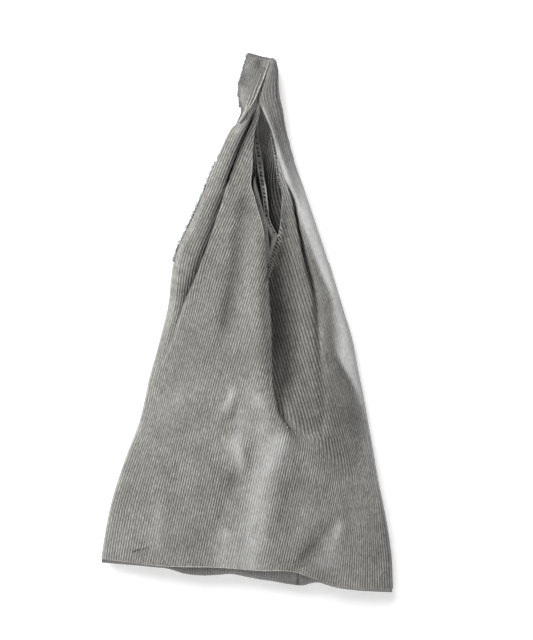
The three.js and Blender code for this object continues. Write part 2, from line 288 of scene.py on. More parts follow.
def right_limit(drop):
    """The first rib of the right part that shows."""
    found = np.interp(drop, d_fine, first_shown)
    return np.where(drop > FOLD_FOOT, left_limit(drop), np.maximum(found, left_limit(drop)))


U_MOUTH_RIGHT = float(right_limit(np.array(MOUTH_FOOT)))
print("hidden in the fold under the mouth: from", round(U_MOUTH_LEFT), "to", round(U_MOUTH_RIGHT), "mm")

# %% [markdown]
# ## Soft folds and sharp lips
#
# Cloth that hangs has two kinds of fold: soft ones, which rise and sink like a wave, and lips, where one part
# lies over another. Sculpting could draw them by hand. A height along a line is easier to place, to soften at
# its ends and to use again for the wear, the painted highlights and the painted shade.


# %% Folds and lips
def along_line(points, x, drop, past=0.0):
    """Distance from a line, length run along it, side (1 right, -1 left) and the line's whole length."""
    p = np.array(points, float)
    lengths = np.concatenate([[0], np.cumsum(np.hypot(*np.diff(p, axis=0).T))])
    near = np.full(np.shape(x), 1e9)
    along = np.zeros(np.shape(x))
    side = np.zeros(np.shape(x))
    last = len(p) - 2
    for k, (a, b) in enumerate(zip(p[:-1], p[1:])):
        d = b - a
        t = ((x - a[0]) * d[0] + (drop - a[1]) * d[1]) / (d @ d)
        t = np.clip(t, -past if k == 0 else 0, 1 + past if k == last else 1)
        dx, dy = x - a[0] - t * d[0], drop - a[1] - t * d[1]
        away = np.hypot(dx, dy)
        closer = away < near
        near = np.where(closer, away, near)
        along = np.where(closer, lengths[k] + t * np.hypot(*d), along)
        side = np.where(closer, np.sign(dx * d[1] - dy * d[0]), side)
    return near, along, side, lengths[-1]


def fold_height(fold, x, drop):
    """Height of one soft fold: points (x, drop), half width, height, and the length of its soft ends."""
    points, width, height, fade = fold
    near, along, _, length = along_line(points, x, drop, past=1.0)
    ends = ease(-0.35 * fade, 0.65 * fade, along)
    ends = ends * ease(length + 0.35 * fade, length - 0.65 * fade, along)
    return height * ends * np.exp(-((near / width) ** 2))


def step_height(points, x, drop, high, low, soft, deep=1, fades=(1.0, 0.55)):
    """A lip along a line: one side stands high, the deep side (1 right, -1 left) dips and rises slowly."""
    near, along, side, length = along_line(points, x, drop)
    share = along / length
    away = near * side * deep
    blur = 0.5 + 4 * share**3
    sunk = ease(-blur, blur, away)
    fade = ease(*fades, share) * ease(-0.02, 0.06, share)
    rise = high * np.exp(-((away / 9) ** 2)) * (1 - sunk)
    run = np.interp(share, np.linspace(0, 1, len(soft)), soft)
    dip = -low * np.exp(-np.maximum(away, 0) / run) * sunk
    return (rise + dip) * fade


print("a fold of 5 mm is", round(float(fold_height(([(0, 0), (0, 100)], 10, 5, 20), 0, 50)), 1), "mm high")

# %% [markdown]
# ## Relief of the front
#
# Seen from the side the bag is a flat cushion, thickest at half height, with the folds on it. Real cloth
# finds its folds by itself, and a simulation would too, but never the folds of this photograph. So each
# one is a line with a height. Heights are small, but a slanting light from the left brings them out.

# %% Where the folds lie
FOLDS = {
    "neck_ridge": ([(-8, 40), (-19, 66), (-30, 90), (-38, 110)], 9, 4.0, 26),
    "second_groove": ([(-16, 160), (-25, 195), (-31, 250), (-41, 310), (-50, 360)], 10, -5.0, 50),
    "beside_fold": ([(-3, 200), (-5, 262), (-4, 338), (2, 420), (14, 446), (28, 466), (26, 500)],
                    14, 6.5, 50),
    "bump": ([(-32, 408), (-37, 424), (-43, 442)], 7, 3.2, 16),
    "upper_smear": ([(-18, 412), (-14, 452)], 20, 2.6, 30),
    "bump_dent": ([(-54, 458), (-46, 452), (-38, 449), (-30, 440)], 4.0, -2.2, 10),
    "lobe": ([(-27, 478), (-21, 516)], 7, 3.2, 14),
    "smear": ([(30, 476), (21, 492), (15, 534), (8, 570), (7, 597), (-1, 632)], 16, 4.0, 34),
    "smear_right": ([(58, 490), (46, 545), (36, 600)], 15, -2.0, 50),
    "mid_left_soft": ([(-92, 450), (-104, 520), (-116, 610)], 14, -2.0, 60),
    "low_left_soft": ([(-120, 470), (-140, 540), (-156, 610)], 12, 1.0, 50),
    "left_of_smear": ([(-36, 512), (-47, 560), (-58, 604)], 12, -3.5, 36),
}
RIGHT_FOLDS = {
    "ridge": ([(0, 51), (13, 86), (27, 126), (38, 156), (46, 180)], 5.5, 6.0, 40),
    "tongue": ([(40, 205), (46, 230), (56, 290), (63, 345), (69, 400), (72, 446)], 8, 5.0, 22),
    "tongue_foot": ([(38, 470), (54, 470), (72, 458)], 6, -2.0, 20),
    "low_crease": ([(42, 648), (58, 622), (74, 602), (90, 586)], 9, -4.4, 22),
    "low_crease_side": ([(66, 652), (82, 628), (96, 606), (106, 588)], 10, 2.4, 24),
    "band_valley": ([(60, 225), (72, 265), (85, 302), (95, 357), (116, 409), (124, 440), (133, 478)],
                    14, -5.0, 60),
}
RIGHT_LIP = [(30, 150), (38, 173), (46, 215), (53, 251), (60, 275), (65, 300), (68, 330), (71, 376), (76, 448)]
LEFT_LIP = [(-5.5, 56), (-15, 80), (-26, 105), (-35, 128), (-44.5, 156), (-56, 193), (-68.6, 231), (-84, 272),
            (-99, 307), (-111, 345), (-123, 373), (-134, 400), (-143, 426)]
LIP_PLACES, LIP_DROPS = np.array(LEFT_LIP).T
tongue_edge = through([
    (173, 38), (221, 46), (251, 53), (275, 60), (300, 65), (330, 68), (376, 71), (448, 76)])
band_edge = through([
    (51, -1), (86, 12), (126, 24), (156, 33), (182, 43), (213, 53.5), (228, 59), (244, 65), (259, 71),
    (274, 77), (289, 83), (330, 88), (363, 91), (389, 104), (399, 110), (427, 123), (452, 131), (478, 136),
    (509, 141), (541, 148), (580, 160), (668, 175)])
print(len(FOLDS), "soft folds on the left and", len(RIGHT_FOLDS), "on the right")

# %% Depth of the front and the back
HOLLOW = 28.0
LIP_ROLL = 4.0
FOLD_FLOOR = -1.5
half_depth = through([(0, 14), (60, 14), (120, 15), (250, 21), (360, 26), (470, 28), (580, 26), (668, 23)])
edge_depth = through([
    (-9, 10), (20, 9.5), (50, 7.5), (80, 5), (120, 3.6), (180, 2.4), (251, 1.5), (668, 1.5)])
back_half = through([(-9, 11.5), (60, 12), (120, 12.5), (250, 10), (470, 11), (668, 10)])


def place_across(x, drop):
    """Place between the two sides, -1 at the left one and 1 at the right one."""
    middle = (left_side(drop) + right_side(drop)) / 2
    half = (right_side(drop) - left_side(drop)) / 2
    return np.clip((x - middle) / half, -1, 1)


def oval(x, drop):
    """Depth of the plain cushion."""
    edge = edge_depth(drop)
    return edge + (half_depth(drop) - edge) * np.sqrt(1 - place_across(x, drop) ** 2 + 1e-9)


def back_oval(x, drop):
    """Depth of the plain back, which hangs nearly flat."""
    edge = edge_depth(drop)
    return edge + (back_half(drop) - edge) * (1 - place_across(x, drop) ** 2 + 1e-9) ** 0.3


def hollow_share(drop):
    """How much of the deep fold there is at this drop."""
    return np.maximum(ease(FOLD_FOOT + 4, FOLD_FOOT - 105, drop), 0.2 * ease(FOLD_FOOT, FOLD_FOOT - 30, drop))


def left_depth(x, drop):
    """Depth of the left part of the front."""
    depth = oval(x, drop)
    for fold in FOLDS.values():
        depth = depth + fold_height(fold, x, drop)
    depth = depth + step_height(LEFT_LIP, x, drop, 2.5, 11.0, [4, 5, 8, 10, 8, 8, 8], -1)
    rolled = np.exp(-((np.minimum(x - left_lip(drop), 0) / 7) ** 2)) * np.where(drop > FOLD_FOOT, 0, 1)
    roll = LIP_ROLL * rolled * hollow_share(drop)
    return depth - roll * (0.25 + 0.4 * ease(190, 260, drop)) * (1 - 0.8 * ease(390, 430, drop))


def right_depth(x, drop):
    """Depth of the right part of the front, which lies flatter towards the side."""
    depth = oval(x, drop)
    edge = edge_depth(drop)
    swell = half_depth(drop) - edge
    flat = edge + swell * np.maximum((depth - edge) / swell, 1e-6) ** 0.62
    depth = depth + (flat - depth) * ease(20, 70, x) * ease(60, 150, drop)
    depth = depth + step_height(RIGHT_LIP, x, drop, 3.0, 9.0, [3.6, 5, 7, 9.9, 12, 12], fades=(0.8, 0.2))
    for fold in (*RIGHT_FOLDS.values(), FOLDS["smear"], FOLDS["smear_right"]):
        depth = depth + fold_height(fold, x, drop)
    depth = depth + fold_height(FOLDS["beside_fold"], x, drop) * ease(FOLD_FOOT - 14, FOLD_FOOT, drop)
    lip = np.where(drop < MOUTH_FOOT, mouth_right(drop), fold_lip(np.minimum(drop, FOLD_FOOT)))
    tongue = np.maximum(tongue_edge(drop), lip + 8)
    on_floor = np.maximum(x - lip, 0) / (tongue - lip)
    beyond = np.maximum(x - tongue, 0) / np.maximum(band_edge(drop) - tongue, 8)
    sunk = (1 - 0.62 * ease(0.4, 1.0, on_floor)) * (1 - ease(0, 1, beyond))
    depth = depth - HOLLOW * sunk * hollow_share(drop) * ease(150, 250, drop)
    return np.where(drop > 150, FOLD_FLOOR + 2 * np.logaddexp(0, (depth - FOLD_FLOOR) / 2), depth)


drop_step = np.array([FOLD_FOOT - 120])
lip_height = left_depth(fold_lip(drop_step), drop_step) - right_depth(fold_lip(drop_step) + 4, drop_step)
print("the lip stands", round(float(lip_height[0])), "mm above the deep fold")

# %% [markdown]
# ## Wear and painted highlights
#
# Pile that has been rubbed is paler, and a painted highlight makes the cloth paler where bulges and turned
# edges catch the light. Both show as a soft smear down the middle of the front, on the bump beside it, on the
# smooth band along the right side and on the turned edge at the left. It could be painted on a texture. A
# value at each point needs no image, and it follows the folds because it uses the same lines.

# %% Wear and painted highlights
WEAR_AND_HIGHLIGHTS = [
    ([(-36, 410), (-40, 424), (-48, 441)], 6, 0.5, 14),
    ([(-4, 416), (-4, 438)], 9, 0.4, 10),
    ([(-36, 452), (-12, 460), (10, 462)], 24, 0.5, 20),
    ([(-38, 468), (-24, 518)], 10, 0.45, 12),
    ([(-50, 476), (-38, 510)], 16, 0.2, 20),
    ([(32, 470), (22, 486), (6, 505), (-6, 543), (-9, 570), (-12, 597), (-20, 650)], 18, 0.72, 16),
    ([(-47, 588), (-48, 650)], 12, 0.5, 14),
    ([(-58, 418), (-28, 424), (0, 410)], 34, 0.2, 20),
    ([(-126, 410), (-104, 450)], 34, 0.3, 40),
    ([(-132, 555), (-134, 615)], 9, 0.3, 20),
    ([(80, 646), (96, 604)], 12, 0.45, 20),
    ([(92, 604), (99, 580)], 5, 0.6, 10),
    ([(67, 438), (70, 446)], 5, 0.5, 8),
    ([(122, 412), (134, 470), (142, 510)], 10, 0.4, 24),
    ([(-6, 44), (-19, 68), (-32, 94)], 6, 0.35, 16),
    ([(-1, 52), (6.5, 69), (14, 89), (19.8, 104), (26, 126), (32, 150)], 1.9, 0.65, 14),
]
strap_glint = through([
    (60, 5.5), (66, 7.6), (81, 12.7), (102, 17.8), (114, 22.3), (131, 28.5), (145, 33), (160, 38.5), (175, 44),
    (190, 49.5)])


def wear(x, drop):
    """Paleness from rubbing and from painted highlights where bulges catch the light, 0 to 1."""
    total = np.zeros(np.shape(x))
    for place in WEAR_AND_HIGHLIGHTS:
        total = total + fold_height(place, x, drop)
    total = total + np.exp(-(((x - left_side(drop)) / 5) ** 2)) * 0.2 * ease(380, 460, drop)
    by_right_side = np.exp(-(((right_side(drop) - x) / 9) ** 2)) * 0.35
    total = total + by_right_side * ease(400, 470, drop) * ease(600, 540, drop)
    return np.clip(total, 0, 1)


def painted_edge_highlight(x, drop):
    """A painted highlight along the turned edge of the right strap, where it catches the light."""
    near = np.exp(-(((x - strap_glint(drop)) / (2.4 + 1.4 * ease(110, 150, drop))) ** 2))
    return 0.75 * near * ease(52, 70, drop) * ease(205, 170, drop)


def drawn(x, drop):
    """Where the cloth is drawn smooth and a painted sheen makes it paler: along the right side, and the turned
    edge at the left armhole.
    """
    soft = 5 + 12 * ease(270, 310, drop) * ease(378, 352, drop)
    right = ease(-2, soft, x - band_edge(drop)) * ease(70, 170, drop) * ease(610, 500, drop)
    turned = 0.1 * ease(10, 5, x - left_side(drop)) * ease(140, 185, drop) * ease(430, 330, drop)
    return np.maximum(right, turned)


def smoothness(x, drop):
    """Share of the ribs that is left where the cloth is drawn smooth, along the right side and above it."""
    band = 0.75 * ease(-2, 5, x - band_edge(drop)) * ease(60, 150, drop) * ease(620, 520, drop)
    above = 0.6 * ease(0, 8, x - tongue_edge(drop)) * ease(205, 235, drop) * ease(480, 380, drop)
    turned = 0.8 * ease(10, 5, x - left_side(drop)) * ease(140, 185, drop) * ease(430, 330, drop)
    return 1 - np.maximum(np.maximum(band, above), turned)


# The list holds rubbed places and painted highlights on bulges.
print(len(WEAR_AND_HIGHLIGHTS), "rubbed places")

# %% Painted shade
# Painted shade: the colour is darkened where folds, hollows, creases and grooves lie in shade.
CREASES = [
    ([(50, 640), (62, 620), (76, 602)], 9, 0.5, 18),
    ([(-38, 515), (-43, 556)], 9, 0.35, 16),
    ([(-55, 460), (-46, 453), (-38, 450), (-31, 442)], 3, 0.35, 8),
    ([(-2, 262), (2, 300), (4, 326)], 12, 0.2, 24),
    ([(-50, 340), (-54, 366)], 12, 0.2, 20),
    ([(-160, 530), (-150, 575)], 14, 0.22, 30),
    ([(-84, 520), (-76, 560)], 14, 0.2, 30),
    ([(118, 600), (126, 640)], 14, 0.22, 20),
    ([(-13, 478), (-20, 516)], 5, 0.4, 14),
    ([(74, 474), (98, 486), (110, 525)], 22, 0.6, 24),
]
NECK_GROOVE = ([(x - 1, drop) for x, drop in LEFT_LIP[:5]], 3.5, 1.0, 18)
SIDE_GROOVE = ([(x - 5, drop) for x, drop in LEFT_LIP[4:9]], 6, 0.4, 40)
RIGHT_VALLEY = ([(36, 165)] + [(x + 2, drop) for x, drop in RIGHT_LIP[1:6]], 3, 0.85, 26)
SECOND_GROOVE = ([(-20, 165), (-25, 205), (-32, 262), (-40, 310), (-47, 345)], 11, 0.6, 30)


def unfaded(x, drop):
    """Painted shade in the deep fold, its tongue and flank, in creases and grooves and along the strap, 0 to
    1.
    """
    beside = x - fold_lip(drop)
    past_tongue = x - tongue_edge(drop)
    past_end = x - tongue_start(drop)
    tucked = ease(0, 1.5, beside + 1.8 * ease(340, 290, drop))
    hollow = tucked * ease(27, 8, beside) * ease(238, 264, drop) * ease(405, 345, drop)
    lip_foot = 0.12 * ease(-1, 1, beside) * ease(9, 2, beside) * ease(400, 425, drop) * ease(468, 458, drop)
    tongue = ease(8, 20, beside) * ease(5, -3, past_tongue) * ease(140, 190, drop) * ease(478, 455, drop)
    flank = ease(3, 14, past_tongue) * ease(6, -4, x - band_edge(drop))
    flank = flank * ease(180, 225, drop) * ease(540, 450, drop)
    before_lip = x - np.interp(drop, LIP_DROPS, LIP_PLACES)
    shoulder = 0.3 * ease(10, 20, x - left_side(drop)) * ease(0, -8, before_lip) * ease(240, 200, drop)
    crease = np.max([fold_height(place, x, drop) for place in CREASES], 0)
    ends = 0.75 * ease(-2, 0, past_end) * ease(7, 2, past_end) * ease(222, 228, drop) * ease(290, 266, drop)
    strap = 0.32 * ease(165, 112, drop) * ease(0, 4, x - mouth_right(drop)) * (1 - painted_edge_highlight(x, drop))
    second = fold_height(SECOND_GROOVE, x, drop)
    soft = [strap, 0.77 * hollow, lip_foot, 0.48 * tongue, 0.77 * second, 0.5 * flank, 0.77 * shoulder,
            0.77 * crease, ends]
    groove = np.maximum(fold_height(NECK_GROOVE, x, drop), fold_height(SIDE_GROOVE, x, drop))
    groove = np.maximum(groove, 0.75 * fold_height(RIGHT_VALLEY, x, drop))
    return np.clip(np.maximum(0.815 * np.max(np.stack(soft), 0), groove), 0, 1)


print(len(CREASES), "dark creases")

# %% [markdown]
# ## Raising the ribs
#
# A rib of corduroy is a rounded cord of pile with a narrow groove on each side. A bump map would do from
# afar, but the outline and the shadows in the grooves would be lost. The grid has the same number of
# columns in every rib, so moving points along the cloth's own normal makes clean cords. A little
# unevenness keeps the pile from looking cast.

# %% Raise ribs
RIB_HEIGHT = 0.9
PER_RIB = 4
FLAT_TONE = 0.72


def normals(points):
    """Unit normals of a grid (rows, columns, 3), towards the viewer."""
    along = np.gradient(points, axis=1)
    down = np.gradient(points, axis=0)
    n = np.cross(down, along)
    return n / np.maximum(np.linalg.norm(n, axis=2, keepdims=True), 1e-9)


def cord(u, pitch=RIB):
    """Height of the ribs at u, 0 in a groove and 1 on a crown."""
    phase = np.abs(((u / pitch) % 1) - 0.5) * 2
    return np.clip(1 - phase**2.2, 0, 1)


def raised(points, u, drop, amount, height, seed):
    """The grid with ribs of a height raised on it."""
    uneven = 1 + 0.22 * grain(u * 0.9, drop * 0.05, seed) + 0.12 * grain(u * 2.1, drop * 0.21, seed + 7)
    lift = RIB_HEIGHT * amount * height * uneven
    return points + normals(points) * lift[..., None]


def calmed(height, share):
    """Rib heights for the material, drawn towards an even tone where only a share of the ribs is left."""
    return FLAT_TONE + (height - FLAT_TONE) * share


def rib_columns(first, last, per_rib=PER_RIB):
    """Places across the cloth, the same number in every rib."""
    count = int(round((last - first) / RIB * per_rib))
    return np.linspace(first, last, count + 1)


print("ribs", RIB_HEIGHT, "mm high,", len(rib_columns(0, CLOTH_WIDTH)), "columns across the front")

# %% [markdown]
# ## Front cloth
#
# The front is one piece of cloth from the hem to the loops. Between the left and the right part the
# hidden cloth turns under the lip and comes back out at the bottom of the fold. Two separate sheets would
# leave a slit there, so one smooth bend joins them.

# %% Front cloth
FRONT_SEED = 3
HIDDEN_RIBS = 0.15
UNDER_REACH = 7
UNDER_DEPTH = 9


def shoulder_line(u):
    """Drop of the line where the shoulders meet the body."""
    left = MOUTH_FOOT + (ARMHOLE_FOOT - MOUTH_FOOT) * np.clip(1 - u / U_MOUTH_LEFT, 0, 1)
    right = np.clip((u - U_MOUTH_RIGHT) / (CLOTH_WIDTH - U_MOUTH_RIGHT), 0, 1)
    return left + (ARMHOLE_FOOT - MOUTH_FOOT) * right


def hem_of(u):
    """Drop of the hem at the foot of a rib."""
    at = np.full(np.shape(u), 640.0)
    for _ in range(6):
        at = hem_drop(LEFT_FOOT + u + LEAN_LOW * (HEM_LEFT_DROP - at))
    return at


def front_point(u, drop):
    """x and depth of the front cloth at rib place u, and where it is hidden in the fold."""
    first = left_limit(drop)
    last = np.maximum(right_limit(drop), first + 1e-3)
    on_left, on_right = u <= first, u >= last
    x_left, x_right = left_rib(u, drop), right_rib(u, drop)
    join = left_rib(first, drop) - right_rib(first, drop)
    x_right = x_right + np.where(drop > FOLD_FOOT, join * ease(CLOTH_WIDTH, first, u), 0)
    q = np.clip((u - first) / (last - first), 0, 1)
    x_lip, x_sunk = left_rib(first, drop), right_rib(last, drop)
    d_lip, d_sunk = left_depth(x_lip, drop), right_depth(x_sunk, drop)
    below = ease(248, 285, drop)
    turn = np.sin(np.pi * q)
    x_under = x_lip + (x_sunk - x_lip) * q - UNDER_REACH * hollow_share(drop) * below * turn
    d_under = d_lip + (d_sunk - d_lip) * (q * q * (3 - 2 * q)) - UNDER_DEPTH * (1 - below) * turn**0.6
    d_under = np.maximum(d_under, FOLD_FLOOR - 1.5)
    x = np.where(on_left, x_left, np.where(on_right, x_right, x_under))
    d_right = np.where(on_right, right_depth(x_right, drop), d_under)
    depth = np.where(on_left, left_depth(x_left, drop), d_right)
    return x, depth, ~(on_left | on_right)


def front_cloth(name, columns, top, foot, rows, painted_highlight=None):
    """A piece of the front cloth between two drops, and its points before the ribs were raised."""
    t = np.linspace(0, 1, rows)[:, None]
    u = np.broadcast_to(columns[None, :], (rows, len(columns)))
    drop = top[None, :] + (foot - top)[None, :] * t
    x, depth, hidden = front_point(u, drop)
    plain = np.stack([x, depth, drop], 2)
    left_over = smoothness(x, drop)
    above = ease(6, -14, drop - BEND_AT - BEND_RISE * u) * (u > right_limit(drop) - 1)
    height = cord(u) * (1 - above) + cord(flank_phase(u), 1) * above
    points = raised(plain, u, drop, np.where(hidden, HIDDEN_RIBS, left_over), height, FRONT_SEED)
    paleness = wear(x, drop)
    if painted_highlight is not None:
        paleness = np.clip(paleness + painted_highlight(x, drop), 0, 1)
    obj = make_mesh(name, points, grid_faces(rows, len(columns)), rib=calmed(height, left_over).ravel(),
                    wear=paleness.ravel(), drawn=drawn(x, drop).ravel(), unfaded=unfaded(x, drop).ravel())
    print(name, len(obj.data.polygons), "faces")
    return obj, plain


columns = rib_columns(0, CLOTH_WIDTH)
front_body, front_plain = front_cloth("front_body", columns, shoulder_line(columns), hem_of(columns), 96)

# %% [markdown]
# ## Shoulders, front
#
# Each shoulder is the same cloth above the line where it begins to swing. It could be cut out of the body
# by a boolean, but then ribs would be cut too. Ribs that reach the mouth end there and the others run on
# to the neck of the hand loop, so each column simply has its own top.

# %% Front shoulders
SHOULDER_ROWS = 36
heights = np.linspace(NECK, MOUTH_FOOT, 200)

columns_left = rib_columns(0, U_MOUTH_LEFT)
top_left = np.maximum(np.interp(columns_left, np.maximum.accumulate(left_limit(heights)), heights), NECK)
left_front, left_front_plain = front_cloth("left_shoulder_cloth_front", columns_left, top_left,
                                           shoulder_line(columns_left), SHOULDER_ROWS)

columns_right = rib_columns(U_MOUTH_RIGHT, CLOTH_WIDTH)
limits = np.maximum.accumulate(right_limit(heights)[::-1])[::-1]
top_right = np.maximum(np.interp(columns_right, limits[::-1], heights[::-1]), NECK)
right_front, right_front_plain = front_cloth("right_shoulder_cloth_front", columns_right, top_right,
                                             shoulder_line(columns_right), SHOULDER_ROWS, painted_highlight=painted_edge_highlight)

# %% [markdown]
# ## Back of the bag
#
# The photograph doesn't show the back, so it is taken as the same cut without the deep fold: straight
# ribs, a few hanging folds, and ribs that run out at the side seams where the bag narrows. Ribs squeezed
# into the narrow top would look like another cloth. Its two shoulders overlap behind the mouth, so the
# mouth looks ribbed inside.

# %% Back cloth
BACK_FOLDS = [
    ([(-20, 235), (-40, 330), (-70, 450)], 14, -4.5, 60),
    ([(14, 235), (24, 330), (40, 470)], 15, -1.4, 60),
    ([(-5, 250), (-8, 350), (-14, 470)], 13, 1.2, 60),
    ([(50, 260), (74, 360), (96, 480)], 12, 1.2, 60),
    ([(-70, 270), (-104, 380), (-130, 500)], 12, 1.2, 60),
    ([(-60, 490), (-30, 610)], 20, -3.0, 60),
    ([(60, 520), (90, 620)], 20, 1.0, 60),
]
LEFT_BACK_SHIFT, RIGHT_BACK_SHIFT = 2.0, -0.8
BACK_FOOT = 640.0
BACK_HEM_BELOW = 6
U_MIDDLE = CLOTH_WIDTH / 2
X_SPLIT = 18.0
RIB_GATHER = 0.8
EDGE_TONE = 0.6


def back_depth(x, drop):
    """Depth of the back cloth, away from the viewer."""
    depth = back_oval(x, drop)
    for fold in BACK_FOLDS:
        depth = depth + fold_height(fold, x, drop)
    return depth


def rib_gather(drop):
    """How far the ribs of the back are pushed together at a drop, as a share of their pitch."""
    whole = (right_side(drop) - left_side(drop)) / CLOTH_WIDTH
    return whole + np.maximum(RIB_GATHER - whole, 0) * ease(620, 300, drop)


def back_middle(drop):
    """x half way between the two sides."""
    return (left_side(drop) + right_side(drop)) / 2


def back_x(u, drop):
    """x of a rib in the back."""
    return back_middle(drop) + (u - U_MIDDLE) * rib_gather(drop)


def back_line(x):
    """Drop of the shoulder line at the back."""
    span = np.where(x < X_SPLIT, X_SPLIT - left_side(ARMHOLE_FOOT), right_side(ARMHOLE_FOOT) - X_SPLIT)
    return MOUTH_FOOT + (ARMHOLE_FOOT - MOUTH_FOOT) * np.clip(np.abs(x - X_SPLIT) / span, 0, 1)


def cut_back(drops, low_edge, high_edge, above):
    """The ribs in a piece of the back, with the drops where each one starts and ends."""
    columns = rib_columns(0, CLOTH_WIDTH)
    drop = np.linspace(*drops, 1600)[:, None]
    x = back_x(columns[None, :], drop)
    inside = (x >= low_edge(drop) - 0.02) & (x <= high_edge(drop) + 0.02) & ((drop <= back_line(x)) == above)
    kept = inside.any(0)
    top = drop[inside.argmax(0), 0] - 0.3
    foot = drop[len(drop) - 1 - inside[::-1].argmax(0), 0] + 0.3
    return columns[kept], top[kept], foot[kept]


def back_cloth(name, columns, top, foot, rows, depth_shift, seed):
    """A piece of the back cloth. Its rows are closest at the top, where ribs run out at the edge."""
    t = np.linspace(0, 1, rows)[:, None] ** 1.6
    u = np.broadcast_to(columns[None, :], (rows, len(columns)))
    drop = top[None, :] + (foot - top)[None, :] * t
    x = back_x(u, drop)
    depth = -back_depth(x, drop) + depth_shift * ease(MOUTH_FOOT + 4, MOUTH_FOOT - 40, drop)
    points = np.stack([x, depth, drop], 2)
    inward = ease(0, 7, np.minimum(x - left_side(drop), right_side(drop) - x))
    height = EDGE_TONE + (cord(u) - EDGE_TONE) * inward
    lift = RIB_HEIGHT * height * inward * (1 + 0.2 * grain(u * 0.9, drop * 0.05, seed))
    points = points - normals(points) * lift[..., None]
    faces = grid_faces(rows, len(columns))[:, ::-1]
    obj = make_mesh(name, points, faces, rib=height.ravel(), wear=wear(x, drop).ravel() * 0.3)
    print(name, len(obj.data.polygons), "faces")
    return obj


columns, top, foot = cut_back((MOUTH_FOOT, BACK_FOOT), left_side, right_side, False)
back_hem = hem_drop(back_x(columns, BACK_FOOT)) + BACK_HEM_BELOW
back_body = back_cloth("back_body", columns, top, back_hem, 72, 0, 21)

# %% Back shoulders
SHOULDER_DROPS = (NECK, ARMHOLE_FOOT)
OVERLAP_GAP = 0.15
overlap_left = through([
    (36, -7), (60, -6), (97, -4.5), (118, -1.8), (138, 0.7), (160, 4.5), (182, 7), (196, 9), (208, 14),
    (221, 21.6)])
under_left = through([
    (120, -1.4), (126, -3.4), (136, -8), (150, -12.5), (166, -13.5), (186, -9), (204, -2), (221, 15)])


def overlap_right(drop):
    """Inner edge of the right back: behind the left one at the shoulder, clear of it from the neck up."""
    return np.where(np.asarray(drop) <= NECK, overlap_left(drop) + OVERLAP_GAP, under_left(drop))


left_cut = cut_back(SHOULDER_DROPS, left_side, overlap_left, True)
left_back = back_cloth("left_shoulder_cloth_back", *left_cut, 40, LEFT_BACK_SHIFT, 22)
right_cut = cut_back(SHOULDER_DROPS, overlap_right, right_side, True)
right_back = back_cloth("right_shoulder_cloth_back", *right_cut, 40, RIGHT_BACK_SHIFT, 23)

# %% [markdown]
# ## Inside of the mouth
#
# Through the mouth one sees the inner side of the back, dark and ribbed; its colour gets painted shade, deeper
# further down, and painted light near the top. Giving the back a thickness would double all its faces, so only
# the part that shows gets a sheet of its own, a little in front of the back.

# %% Inside of the mouth
INSIDE_COLUMNS = 5
INSIDE_RIBS = 1.7
INSIDE_FOOT = 224
INSIDE_TOP = 44


def inner_side(name, low_edge, high_edge, drops, ribs, lift, rows, kept):
    """The inner side of the back, seen through the mouth, with ribs of its own; kept gives its painted shade.
    """
    drop = np.linspace(*drops, rows)[:, None]
    columns = ribs * INSIDE_COLUMNS + 1
    c = np.linspace(0, 1, columns)[None, :]
    x = low_edge(drop) + (high_edge(drop) - low_edge(drop)) * c
    height = np.broadcast_to(cord(c * ribs * RIB), x.shape)
    inward = ease(1, 12, np.minimum(x - left_side(drop), right_side(drop) - x))
    depth = -back_oval(x, drop) + (lift + INSIDE_RIBS * RIB_HEIGHT * height) * inward
    points = np.stack([x, depth, np.broadcast_to(drop, x.shape)], 2)
    # Painted light: the inside is paler towards the top.
    pale_tone = np.broadcast_to(0.35 * ease(135, 95, drop), x.shape)
    return make_mesh(name, points, grid_faces(rows, columns), rib=height.ravel(), wear=pale_tone.ravel(),
                     unfaded=np.broadcast_to(kept(drop), x.shape).ravel())


def left_inner_edge(drop):
    """Outer edge of the left inside, kept clear of the loop that turns over."""
    return left_side(drop) + 4 + 14 * ease(80, 60, drop)


def right_inner_edge(drop):
    """Outer edge of the right inside."""
    return right_side(drop) - 3


def painted_shade_left(drop):
    """Painted shade on the left inside, deeper further down."""
    return 0.95 * ease(112, 150, drop)


def painted_shade_right(drop):
    """Painted shade on the right inside, deeper further down."""
    return 0.8 * ease(95, 150, drop)


left_edges = (left_inner_edge, overlap_left)
right_edges = (overlap_right, right_inner_edge)
left_inside = inner_side("left_shoulder_inside", *left_edges, (NECK, INSIDE_FOOT), 17, 8.0, 26, painted_shade_left)
right_inside = inner_side("right_shoulder_inside", *right_edges, (NECK, INSIDE_FOOT), 16, 4.0, 26, painted_shade_right)
left_loop_inside = inner_side("left_loop_inside", *left_edges, (INSIDE_TOP, NECK), 17, 8.0, 20, painted_shade_left)
right_loop_inside = inner_side("right_loop_inside", *right_edges, (INSIDE_TOP, NECK), 16, 4.0, 20, painted_shade_right)
print("inside of the mouth from", INSIDE_TOP, "to", INSIDE_FOOT, "mm below the origin")

# %% [markdown]
# ## Base
#
# A lens-shaped panel closes the bottom. It tips down towards the back, so from the front it is a dark
# band under the hem. It could be a flat plane, but the real one sags between its seams, so it is a ribbed
# grid with a sag.

# %% Base
BASE_ROWS = 14
BASE_CREASE_X = 46
sag = through([
    (-140, 0), (-118, 2), (-100, 7), (-80, 9.5), (-58, 8.5), (-39, 6), (-20, 8), (10, 11.5), (36, 15),
    (50, 13), (66, 4), (76, 0)])

